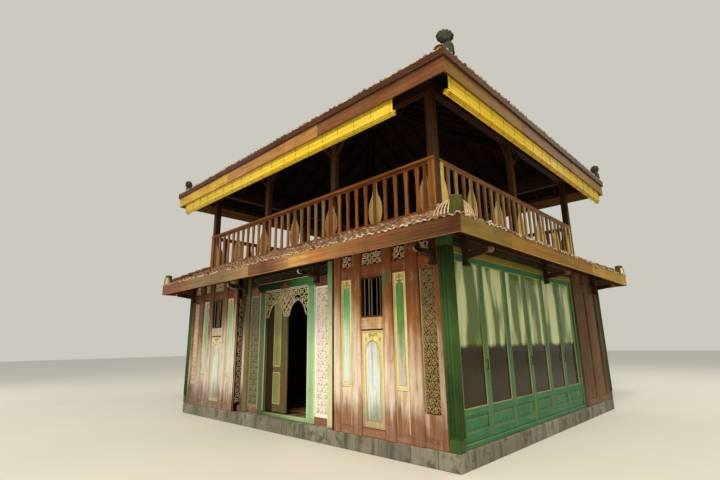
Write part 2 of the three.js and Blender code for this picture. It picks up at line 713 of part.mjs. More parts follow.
// A rolled bamboo blind hanging inside the fascia: a thin sheet with its roll at the foot
function blind(name, from, to) {
  const place = SIDES[name];
  const base = (name === 'front' ? EAVE_Y : EAVE_X) + EAVE_LIP;
  const inset = EAVE_LIP + BOARD + 20;
  const rollR = 52;
  const rollZ = 4915;
  const middle = (from + to) / 2;
  const spot = (run, far, z) => place(middle + run, base - far, z);
  const sheet = [
    [inset, rollZ], [inset + 8, rollZ], [inset + 8, roofUnder(inset) - SEAT], [inset, roofUnder(inset) - SEAT],
  ];
  const roll = [];
  const sides = 12;
  for (let i = 0; i < sides; i += 1) {
    const angle = (2 * Math.PI * i) / sides;
    roll.push([inset + rollR * (1 + Math.cos(angle)), rollZ + rollR * Math.sin(angle)]);
  }
  const half = (to - from) / 2;
  addPiece(`blind_${name}`, shaped([mitredBand(sheet, () => half, spot), mitredBand(roll, () => half, spot)]), BAMBOO);
}

plinth();
cornerPosts();
carvedWall('right', 1);
carvedWall('left', -1);
doorFrame();
doorFretwork();
doorLeaves();
sideDoorFrame();
sideDoors();
plainWalls();
backWalls();
groundBeams();
upperFloor();
skirtRoof();
fascias();
skirtHips();
balustrades();
upperFrames();
upperRoof();
roofRidge();
blind('front', -3860, 3180);
blind('right', -3480, 3480);

export default house;
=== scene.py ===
import math
import random

import bpy
from bpy.props import FloatProperty, FloatVectorProperty, IntProperty, PointerProperty
from mathutils import Matrix, Vector


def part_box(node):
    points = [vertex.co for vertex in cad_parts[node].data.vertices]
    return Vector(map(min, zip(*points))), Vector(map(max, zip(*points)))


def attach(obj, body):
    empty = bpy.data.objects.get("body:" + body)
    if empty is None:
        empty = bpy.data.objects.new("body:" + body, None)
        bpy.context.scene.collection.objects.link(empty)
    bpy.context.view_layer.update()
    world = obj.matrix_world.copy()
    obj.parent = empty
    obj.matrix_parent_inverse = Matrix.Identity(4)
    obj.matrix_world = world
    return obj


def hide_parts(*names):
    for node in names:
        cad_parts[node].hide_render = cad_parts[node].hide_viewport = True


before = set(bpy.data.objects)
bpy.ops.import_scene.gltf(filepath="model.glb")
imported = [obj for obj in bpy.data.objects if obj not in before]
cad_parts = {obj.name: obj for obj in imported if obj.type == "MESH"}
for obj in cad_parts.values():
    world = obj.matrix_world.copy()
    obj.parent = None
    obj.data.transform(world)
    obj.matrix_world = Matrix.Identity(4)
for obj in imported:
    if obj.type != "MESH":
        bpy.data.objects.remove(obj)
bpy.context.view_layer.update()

bl_info = {
    "name": "Carved teak gallery house",
    "version": (1, 0, 0),
    "blender": (4, 5, 0),
    "location": "3D View > Sidebar > House",
    "description": "Dresses the fixed frame of a two-storey timber house with its boards, carving and tiles",
    "category": "Add Mesh",
}

# Places read from the fixed frame, in metres
_post_low, _post_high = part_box("corner_post_front_right")
WALL_X, WALL_Y = _post_high.x, -_post_low.y
POST = _post_high.x - _post_low.x
FLOOR, WALL_TOP = _post_low.z, _post_high.z
_frame_low, _frame_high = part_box("upper_frame_front")
GALLERY_X, GALLERY_Y = _frame_high.x, -_frame_low.y
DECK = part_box("upper_floor")[1].z
_skirt_low, _skirt_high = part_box("skirt_fascia")
_eave_low, _eave_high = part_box("eave_fascia")
SKIRT_LIP = -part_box("skirt_roof_front")[0].y - GALLERY_Y
SKIRT_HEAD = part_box("skirt_roof_front")[1].z
SKIRT_SLOPE = 0.41 / 0.83
ROOF_LIP_X, ROOF_LIP_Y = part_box("roof_right")[1].x, -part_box("roof_front")[0].y
ROOF_PITCH = math.radians(30)
ROOF_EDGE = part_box("roof_front")[1].z - math.tan(ROOF_PITCH) * ROOF_LIP_Y
RAIL_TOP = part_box("balustrade_front")[1].z

# Places in the fixed frame that no single node's box gives
BEAM_TOP = 3.13
KERB_TOP = 3.485
SLAT_TOP = RAIL_TOP - 0.088
TRIM_Z = 5.345
TRIM_PROUD = 0.03
DOOR_FACE = -WALL_Y + 0.16
PIVOT_X, PIVOT_Y = 0.64, -3.07
DOORS_END = 1.55
BEAM_DEPTH = 0.16
GALLERY_POST = 0.14

# Turns that carry a wall drawn as the front one to each side of the house
TURN = {"front": 0, "right": 1, "back": 2, "left": 3}


# Sizes and colours that a user would change

class HouseSizes(bpy.types.PropertyGroup):
    tile_width: FloatProperty(
        name="Tile width", description="Cover width of one roof tile", default=0.118, min=0.08, max=0.4,
        unit="LENGTH")
    tile_course: FloatProperty(
        name="Tile course", description="Length of tile that shows in each course", default=0.19, min=0.1,
        max=0.4, unit="LENGTH")
    rafter_pitch: FloatProperty(
        name="Rafter spacing", description="Distance between rafters", default=0.52, min=0.3, max=1.0,
        unit="LENGTH")
    deck_board: FloatProperty(
        name="Deck board", description="Width of one board of the gallery floor", default=0.16, min=0.08,
        max=0.3, unit="LENGTH")
    window_bars: IntProperty(
        name="Window bars", description="Upright bars in each window", default=5, min=2, max=9)
    scroll_cell: FloatProperty(
        name="Scroll height", description="Height of one repeat of the carved scrolls", default=0.115,
        min=0.08, max=0.3, unit="LENGTH")


def _tint(name, description, value):
    return FloatVectorProperty(
        name=name, description=description, subtype="COLOR", size=3, min=0.0, max=1.0, default=value)


class HouseColours(bpy.types.PropertyGroup):
    carved_teak: _tint("Carved teak", "Reddish brown of the uprights under the eaves", (0.330, 0.135, 0.040))
    # Pale tone low on the walls: partly teak faded by the sun, partly painted sunlight.
    bleached_and_sunlit_teak: _tint("Bleached and sunlit teak", "Pale pinkish tone low on the front wall", (0.92, 0.77, 0.64))
    panel_green: _tint("Panel green", "Paint of the carved wall's long panels", (0.125, 0.470, 0.165))
    door_green: _tint("Door green", "Paint of the doorway", (0.125, 0.400, 0.150))
    teal_green: _tint("Teal green", "Paint of the glazed doors", (0.048, 0.180, 0.078))
    post_green: _tint("Post green", "Paint of the corner posts", (0.048, 0.108, 0.028))
    cream: _tint("Cream", "Paint of borders and edge lines", (0.80, 0.69, 0.29))
    red_teak: _tint("Red teak", "Fascia boards on the front", (0.34, 0.142, 0.062))
    clay: _tint("Clay", "Roof tiles", (0.24, 0.085, 0.042))
    bamboo: _tint("Bamboo", "Rolled blinds", (0.96, 0.64, 0.038))


# Shader building

class Value:
    """A shader socket that can stand in sums. Each sum adds its Math node."""

    def __init__(self, finish, socket):
        self.finish = finish
        self.socket = socket

    def math(self, operation, first, second):
        return self.finish.node("ShaderNodeMath", {0: first, 1: second}, operation=operation)

    def __add__(self, other):
        return self.math("ADD", self, other)

    def __radd__(self, other):
        return self.math("ADD", other, self)

    def __sub__(self, other):
        return self.math("SUBTRACT", self, other)

    def __rsub__(self, other):
        return self.math("SUBTRACT", other, self)

    def __mul__(self, other):
        return self.math("MULTIPLY", self, other)

    def between(self, low, high):
        """0 below low and 1 above high, with a soft step in between."""
        return self.finish.node(
            "ShaderNodeMapRange", {"Value": self, 1: low, 2: high}, interpolation_type="SMOOTHSTEP")


class Finish:
    """One procedural material: a Principled shader and the nodes that feed it."""

    def __init__(self, name, slot, **shader):
        self.slot = slot
        self.material = bpy.data.materials.new(name)
        self.material.use_nodes = True
        self.tree = self.material.node_tree
        self.tree.nodes.clear()
        self.shader = self.tree.nodes.new("ShaderNodeBsdfPrincipled")
        output = self.tree.nodes.new("ShaderNodeOutputMaterial")
        self.tree.links.new(self.shader.outputs[0], output.inputs[0])
        for socket, value in shader.items():
            self.shader.inputs[socket.replace("_", " ")].default_value = value

    def node(self, kind, sockets=None, output=0, **settings):
        """Adds any node: sockets are its inputs and settings its own properties."""
        node = self.tree.nodes.new(kind)
        for key, value in settings.items():
            if key == "stops":
                self._fill_ramp(node.color_ramp, value)
            else:
                setattr(node, key, value)
        for key, value in (sockets or {}).items():
            if isinstance(value, Value):
                self.tree.links.new(value.socket, node.inputs[key])
            else:
                node.inputs[key].default_value = value
        return Value(self, node.outputs[output])

    @staticmethod
    def _fill_ramp(ramp, stops):
        while len(ramp.elements) < len(stops):
            ramp.elements.new(0.5)
        for element, (place, colour) in zip(ramp.elements, stops):
            element.position = place
            element.color = (*colour, 1.0)

    def feed(self, socket, value):
        self.tree.links.new(value.socket, self.shader.inputs[socket])

    def place(self):
        return self.node("ShaderNodeTexCoord", output=3)

    def part(self, vector, axis):
        return self.node("ShaderNodeSeparateXYZ", {0: vector}, axis)

    def across(self):
        return self.part(self.place(), 0)

    def height(self):
        return self.part(self.place(), 2)

    def grain(self):
        """The place on each board, with x along the board."""
        return self.node("ShaderNodeAttribute", output=1, attribute_name="grain")

    def amount(self, name):
        """The number that the mesh keeps under a name: each board's tone, or 1 on its eased edges."""
        return self.node("ShaderNodeAttribute", output=2, attribute_name=name)

    def times(self, vector, scale):
        return self.node("ShaderNodeVectorMath", {0: vector, 1: scale}, operation="MULTIPLY")

    def noise(self, vector, scale=1.0, detail=3.0, roughness=0.55):
        sockets = {"Vector": vector, "Scale": scale, "Detail": detail, "Roughness": roughness}
        return self.node("ShaderNodeTexNoise", sockets)

    def ramp(self, value, stops):
        return self.node("ShaderNodeValToRGB", {0: value}, stops=stops)

    def shade(self, colour, amount):
        return self.node("ShaderNodeVectorMath", {0: colour, 3: amount}, operation="SCALE")

    def duller(self, colour, amount):
        return self.node(
            "ShaderNodeHueSaturation", {"Saturation": 0.45, "Value": 0.80, "Fac": amount, "Color": colour})

    def mix(self, first, second, factor):
        first, second = (part if isinstance(part, Value) else (*part, 1.0) for part in (first, second))
        return self.node("ShaderNodeMix", {0: factor, 6: first, 7: second}, 2, data_type="RGBA")

    def bump(self, height, distance, strength):
        return self.node("ShaderNodeBump", {"Height": height, "Distance": distance, "Strength": strength})


def scaled(colour, amount):
    """A colour made lighter or darker, each part at most 1."""
    return tuple(min(1.0, part * amount) for part in colour)


def tinted(colour, *amounts):
    """A colour whose red, green and blue are changed apart."""
    return tuple(part * amount for part, amount in zip(colour, amounts))


def wood_lines(finish):
    """Broad streaks and fine fibres that run along each board."""
    along = finish.grain()
    streaks = finish.noise(finish.times(along, (0.8, 24.0, 24.0)), 1.0, 5.0, 0.62)
    fibres = finish.noise(finish.times(along, (5.0, 170.0, 170.0)), 1.0, 2.0, 0.6)
    return streaks, fibres


def bleached_and_sunlit(finish, colour, streaks, pale, low, high, most, stain=None):
    """Fades a colour to a pale one from the height high down to the height low, in upright runs.

    The pale is partly wood faded by the sun and partly painted sunlight on the lower wall. The sun
    reaches higher beside the doorway than at the corners. A stain is what splashed earth leaves of the
    colour near the ground."""
    place = finish.place()
    runs = finish.noise(finish.times(place, (13.0, 13.0, 0.8)), 1.0, 4.0, 0.6)
    clouds = finish.noise(place, 2.2, 4.0, 0.6)
    away = finish.node("ShaderNodeMath", {0: finish.across()}, operation="ABSOLUTE")
    level = finish.height() + (away - 2.2) * 0.42 + (runs - 0.5) * 1.7 + (clouds - 0.5) * 0.9
    flecks = finish.noise(finish.times(place, (60.0, 60.0, 22.0)), 1.0, 3.0, 0.7).between(0.58, 0.72)
    # The pale colour: wood faded by the sun, and painted sunlight on the lower wall.
    wear_and_light = finish.shade(pale, (0.60 + streaks * 0.80) * (1.0 - flecks * 0.35))
    strength = most - away.between(2.7, 3.5) * (most * 0.3)
    colour = finish.mix(colour, wear_and_light, (1.0 - level.between(low, high)) * strength)
    if stain:
        foot = 1.0 - (finish.height() + (runs - 0.5) + (clouds - 0.5) * 0.5).between(0.40, 0.92)
        colour = finish.mix(colour, finish.times(finish.shade(colour, 0.55 + streaks * 0.8), stain), foot)
    return colour


def duller_and_shaded_to_the_left(finish, colour):
    """The left part of the front wall is duller and darker: partly weathered, partly painted shade over its
    left end.
    """
    clouds = finish.noise(finish.place(), 1.3, 3.0, 0.6)
    return finish.duller(colour, (1.0 - (finish.across() + clouds * 1.2).between(-1.9, 0.4)) * 0.6)


def painted_doorway_shadow(finish, colour, least, start=-0.35):
    """Painted shadow: the doorway is darker, duller and yellower to the left of start, down to a share of its
    colour.
    """
    clouds = finish.noise(finish.place(), 2.0, 3.0, 0.6)
    clear = (finish.across() + clouds * 0.8).between(start, 0.95 + (start + 0.35) * 0.4)
    dull = finish.times(finish.duller(colour, 0.4), (1.0, 0.94, 0.62))
    return finish.shade(finish.mix(dull, colour, clear), clear * (1.0 - least) + least)


def upright_weather_and_shade(finish, colour, base):
    """Red-brown heads under the eave, painted shade that darkens and greys the upper left of the wall, and a
    green smear beside the right window.
    """
    place = finish.place()
    patches = finish.noise(finish.times(place, (7.0, 7.0, 1.4)), 1.0, 4.0, 0.6)
    head = (finish.height() + (patches - 0.5) * 0.9).between(2.05, 2.75)
    colour = finish.mix(colour, finish.times(base, (0.66, 0.38, 0.62)), head * 0.75)
    # Painted shade: the upper part of the wall's left end is darker and greyer.
    left = 1.0 - (finish.across() + (patches - 0.5) * 1.2).between(-2.2, -1.0)
    high = (finish.height() + (patches - 0.5) * 1.2).between(1.5, 2.6)
    colour = finish.mix(colour, finish.times(base, (0.36, 0.44, 0.48)), left * high * 0.75)
    blotches = finish.noise(finish.times(place, (10.0, 10.0, 2.6)), 1.0, 6.0, 0.72)
    colour = finish.mix(colour, finish.times(base, (0.62, 0.45, 0.42)), blotches.between(0.52, 0.68) * 0.50)
    colour = finish.mix(colour, (0.80, 0.66, 0.50), blotches.between(0.30, 0.46) * -0.35 + 0.35)
    away = finish.node("ShaderNodeVectorMath", {0: place, 1: (2.645, -3.30, 2.47)}, 1, operation="DISTANCE")
    smear = 1.0 - (away + (patches - 0.5) * 0.5).between(0.03, 0.15)
    return finish.mix(colour, (0.070, 0.150, 0.070), smear * 0.65)


def timber(name, slot, tones, roughness=0.55, bleach_and_sun=None, contrast=0.85, grime=0.5, edge_shade=2.3,
           doorway_shadow=None, under_eave=False):
    """Wood whose board colour comes from the tone of each board, with grain along it."""
    finish = Finish(name, slot, Roughness=roughness, Specular_IOR_Level=DULL)
    streaks, fibres = wood_lines(finish)
    place = finish.place()
    patches = finish.noise(place, 1.7, 3.0, 0.6)
    hues = finish.ramp(finish.noise(place, 2.6, 4.0, 0.65), [
        (0.34, (1.0, 0.74, 0.62)), (0.5, (1.0, 0.94, 0.86)), (0.66, (0.94, 1.0, 0.78))])
    stops = [(i / (len(tones) - 1), tone) for i, tone in enumerate(tones)]
    base = finish.times(finish.ramp(finish.amount("tone"), stops), hues)
    lines = (streaks - 0.5) * 2.1 + (fibres - 0.5) * 0.7 + (patches - 0.5) * 0.6
    colour = finish.shade(base, 1.05 + lines * contrast)
    dirt = finish.noise(place, 5.2, 6.0, 0.72)
    colour = finish.mix(colour, finish.shade(base, 0.30), (dirt + streaks * 0.3).between(0.66, 0.86) * grime)
    # Paler low down: fading in the sun and painted sunlight. Duller to the left: weathering and painted shade.
    if bleach_and_sun:
        colour = duller_and_shaded_to_the_left(finish, bleached_and_sunlit(finish, colour, streaks, *bleach_and_sun))
    if under_eave:
        colour = upright_weather_and_shade(finish, colour, base)
    # Painted shadow over the left of the doorway.
    if doorway_shadow:
        colour = painted_doorway_shadow(finish, colour, *doorway_shadow)
    # Eased edges take the board colour times edge_shade: lighter is rubbed wear, and on the balustrade also a
    # painted highlight; the uprights' darker edges are painted shade.
    wear_and_light = finish.amount("edge") * streaks.between(0.3, 0.65) * 0.55
    colour = finish.mix(colour, finish.shade(base, edge_shade), wear_and_light)
    finish.feed("Base Color", colour)
    finish.feed("Roughness", roughness - 0.12 + streaks * 0.28)
    finish.feed("Normal", finish.bump(streaks * 0.7 + fibres * 0.3, 0.005, 0.6))
    return finish


def painted(name, slot, paint, wood, wear=0.5, roughness=0.5, bleach_and_sun=None, pale_edge=None, doorway_shadow=None):
    """Paint over wood: thin and scuffed, rubbed off along the grain and on the edges."""
    finish = Finish(name, slot, Roughness=roughness, Specular_IOR_Level=DULL)
    streaks, fibres = wood_lines(finish)
    place = finish.place()
    patches = finish.noise(place, 3.1, 5.0, 0.65)
    fine = finish.noise(place, 38.0, 4.0, 0.6)
    coat = finish.shade(paint, 1.0 + (streaks - 0.5) * 1.1 + (patches - 0.5) + (fine - 0.5) * 0.3)
    # Paler low down: fading in the sun and painted sunlight. Duller to the left: weathering and painted shade.
    if bleach_and_sun:
        coat = duller_and_shaded_to_the_left(finish, bleached_and_sunlit(finish, coat, streaks, *bleach_and_sun))
    bare = finish.shade(wood, 0.45 + streaks * 1.1)
    edge = finish.amount("edge")
    rub = streaks * 0.50 + patches * 0.45 + fine * 0.2 + edge * 0.16
    rubbed = rub.between(0.72 - wear * 0.18, 0.82 - wear * 0.12)
    colour = finish.mix(coat, bare, rubbed * 0.9)
    dirt = finish.noise(place, 7.0, 6.0, 0.7)
    colour = finish.mix(colour, finish.shade(paint, 0.22), dirt.between(0.56, 0.76) * 0.45)
    if pale_edge:
        colour = finish.mix(colour, finish.shade(pale_edge, 0.6 + patches * 0.7), edge * 0.6)
    # Painted shadow over the left of the doorway.
    if doorway_shadow:
        colour = painted_doorway_shadow(finish, colour, *doorway_shadow)
    finish.feed("Base Color", colour)
    finish.feed("Roughness", roughness - 0.08 + patches * 0.3)
    relief = streaks * 0.35 + fibres * 0.25 - rubbed * 0.3 + fine * 0.1
    finish.feed("Normal", finish.bump(relief, 0.005, 0.55))
    return finish


def clay_tile(name, slot, clay, pale_amount):
    """Unglazed tile: each one its own tone, stained in patches, lichen along its nose."""
    finish = Finish(name, slot, Roughness=0.9, Specular_IOR_Level=DULL)
    place = finish.place()
    tone = finish.amount("tone")
    stain = finish.noise(place, 1.6, 5.0, 0.65)
    grit = finish.noise(place, 60.0, 4.0, 0.7)
    base = finish.ramp(tone, [
        (0.0, scaled(clay, 0.35)), (0.35, scaled(clay, 0.75)),
        (0.65, scaled(tinted(clay, 1.0, 1.2, 1.2), 0.9)), (0.85, scaled(clay, 1.3)),
        (1.0, scaled(tinted(clay, 0.9, 1.3, 1.5), 0.9))])
    colour = finish.shade(base, 0.40 + stain * 0.75 + grit * 0.45)
    colour = finish.mix(colour, (0.040, 0.034, 0.024), stain.between(0.50, 0.72) * 0.8)
    moss = finish.noise(place, 3.7, 4.0, 0.6)
    colour = finish.mix(colour, (0.060, 0.075, 0.026), moss.between(0.56, 0.70) * 0.55)
    crust = finish.noise(place, 14.0, 5.0, 0.75)
    broken = finish.noise(place, 7.0, 4.0, 0.7).between(0.42, 0.58)
    edge = finish.amount("edge")
    pale = (crust + edge * 0.26 + tone * 0.08).between(0.66 - pale_amount * 0.12, 0.80 - pale_amount * 0.08)
    colour = finish.mix(colour, (0.92, 0.77, 0.58), pale * (0.08 + edge * 0.87) * (0.12 + broken * 0.88))
    finish.feed("Base Color", colour)
    finish.feed("Roughness", 0.72 + grit * 0.3)
    finish.feed("Normal", finish.bump(grit * 0.4 + crust * 0.6, 0.006, 0.7))
    return finish


def weathered_stone(name, slot, stone, moss, moss_amount):
    """Rough stone or cement with dark runs and moss on it."""
    finish = Finish(name, slot, Roughness=0.92, Specular_IOR_Level=DULL)
    place = finish.place()
    coarse = finish.noise(place, 4.0, 6.0, 0.7)
    grit = finish.noise(place, 70.0, 4.0, 0.7)
    runs = finish.noise(finish.times(place, (9.0, 9.0, 1.2)), 1.0, 4.0, 0.6)
    base = finish.ramp(finish.amount("tone"), [
        (0.0, scaled(stone, 0.72)), (0.5, stone), (1.0, scaled(stone, 1.3))])
    colour = finish.shade(base, 0.40 + coarse * 0.75 + grit * 0.45)
    colour = finish.mix(colour, scaled(stone, 0.20), runs.between(0.48, 0.70) * 0.65)
    green = finish.noise(place, 5.5, 5.0, 0.65)
    green = green.between(0.62 - moss_amount * 0.2, 0.78 - moss_amount * 0.2)
    finish.feed("Base Color", finish.mix(colour, moss, green * 0.85))
    finish.feed("Normal", finish.bump(coarse * 0.6 + grit * 0.4, 0.014, 0.8))
    return finish


def split_bamboo(name, slot, bamboo):
    """Golden culms with darker joints and a little gloss."""
    finish = Finish(name, slot, Roughness=0.45, Specular_IOR_Level=0.35)
    streaks, fibres = wood_lines(finish)
    tone = finish.amount("tone")
    run = (finish.part(finish.grain(), 0) + tone * 3.0) * 3.1
    phase = finish.node("ShaderNodeMath", {0: run}, operation="FRACT")
    joint = (1.0 - phase.between(0.0, 0.03)) + phase.between(0.97, 1.0)
    base = finish.ramp(tone, [
        (0.0, scaled(bamboo, 0.62)), (0.5, bamboo), (1.0, scaled(tinted(bamboo, 1.0, 1.1, 1.5), 1.2))])
    colour = finish.shade(base, 0.40 + streaks + fibres * 0.2)
    finish.feed("Base Color", finish.mix(colour, scaled(bamboo, 0.22), joint * 0.8))
    finish.feed("Normal", finish.bump(streaks * 0.5 + fibres * 0.2 + joint * 0.6, 0.004, 0.5))
    return finish


def clear_glass(name, slot):
    """Old window glass, dark as painted shade of the dim room behind it, and paler, yellow-green and more
    opaque above about 1.5 m.
    """
    finish = Finish(name, slot, Roughness=0.06, IOR=1.5, Specular_IOR_Level=0.2)
    place = finish.place()
    ripple = finish.noise(place, 3.0, 2.0, 0.5)
    runs = finish.noise(finish.times(place, (3.2, 3.2, 0.7)), 1.0, 3.0, 0.5)
    pale_upper_band = (finish.height() + (runs - 0.5) * 0.12).between(1.44, 1.52)
    tint = finish.mix((0.12, 0.17, 0.035), (0.70, 0.75, 0.36), runs.between(0.42, 0.60))
    # The dark colour is painted shade of the room behind the panes.
    finish.feed("Base Color", finish.mix((0.050, 0.034, 0.012), tint, pale_upper_band))
    finish.feed("Alpha", 0.66 + pale_upper_band * 0.28)
    finish.feed("Roughness", 0.04 + pale_upper_band * 0.10)
    finish.feed("Normal", finish.bump(ripple, 0.02, 0.12))
    return finish


def plain_floor(name):
    """Pale studio floor with a faint mottle."""
    finish = Finish(name, "", Roughness=0.85)
    cloud = finish.noise(finish.place(), 0.35, 4.0, 0.6)
    finish.feed("Base Color", finish.mix((0.66, 0.66, 0.63), (0.72, 0.715, 0.69), cloud))
    return finish


PALE_WOOD = (0.30, 0.21, 0.13)
DARK_WOOD = (0.10, 0.045, 0.022)
DULL = 0.12


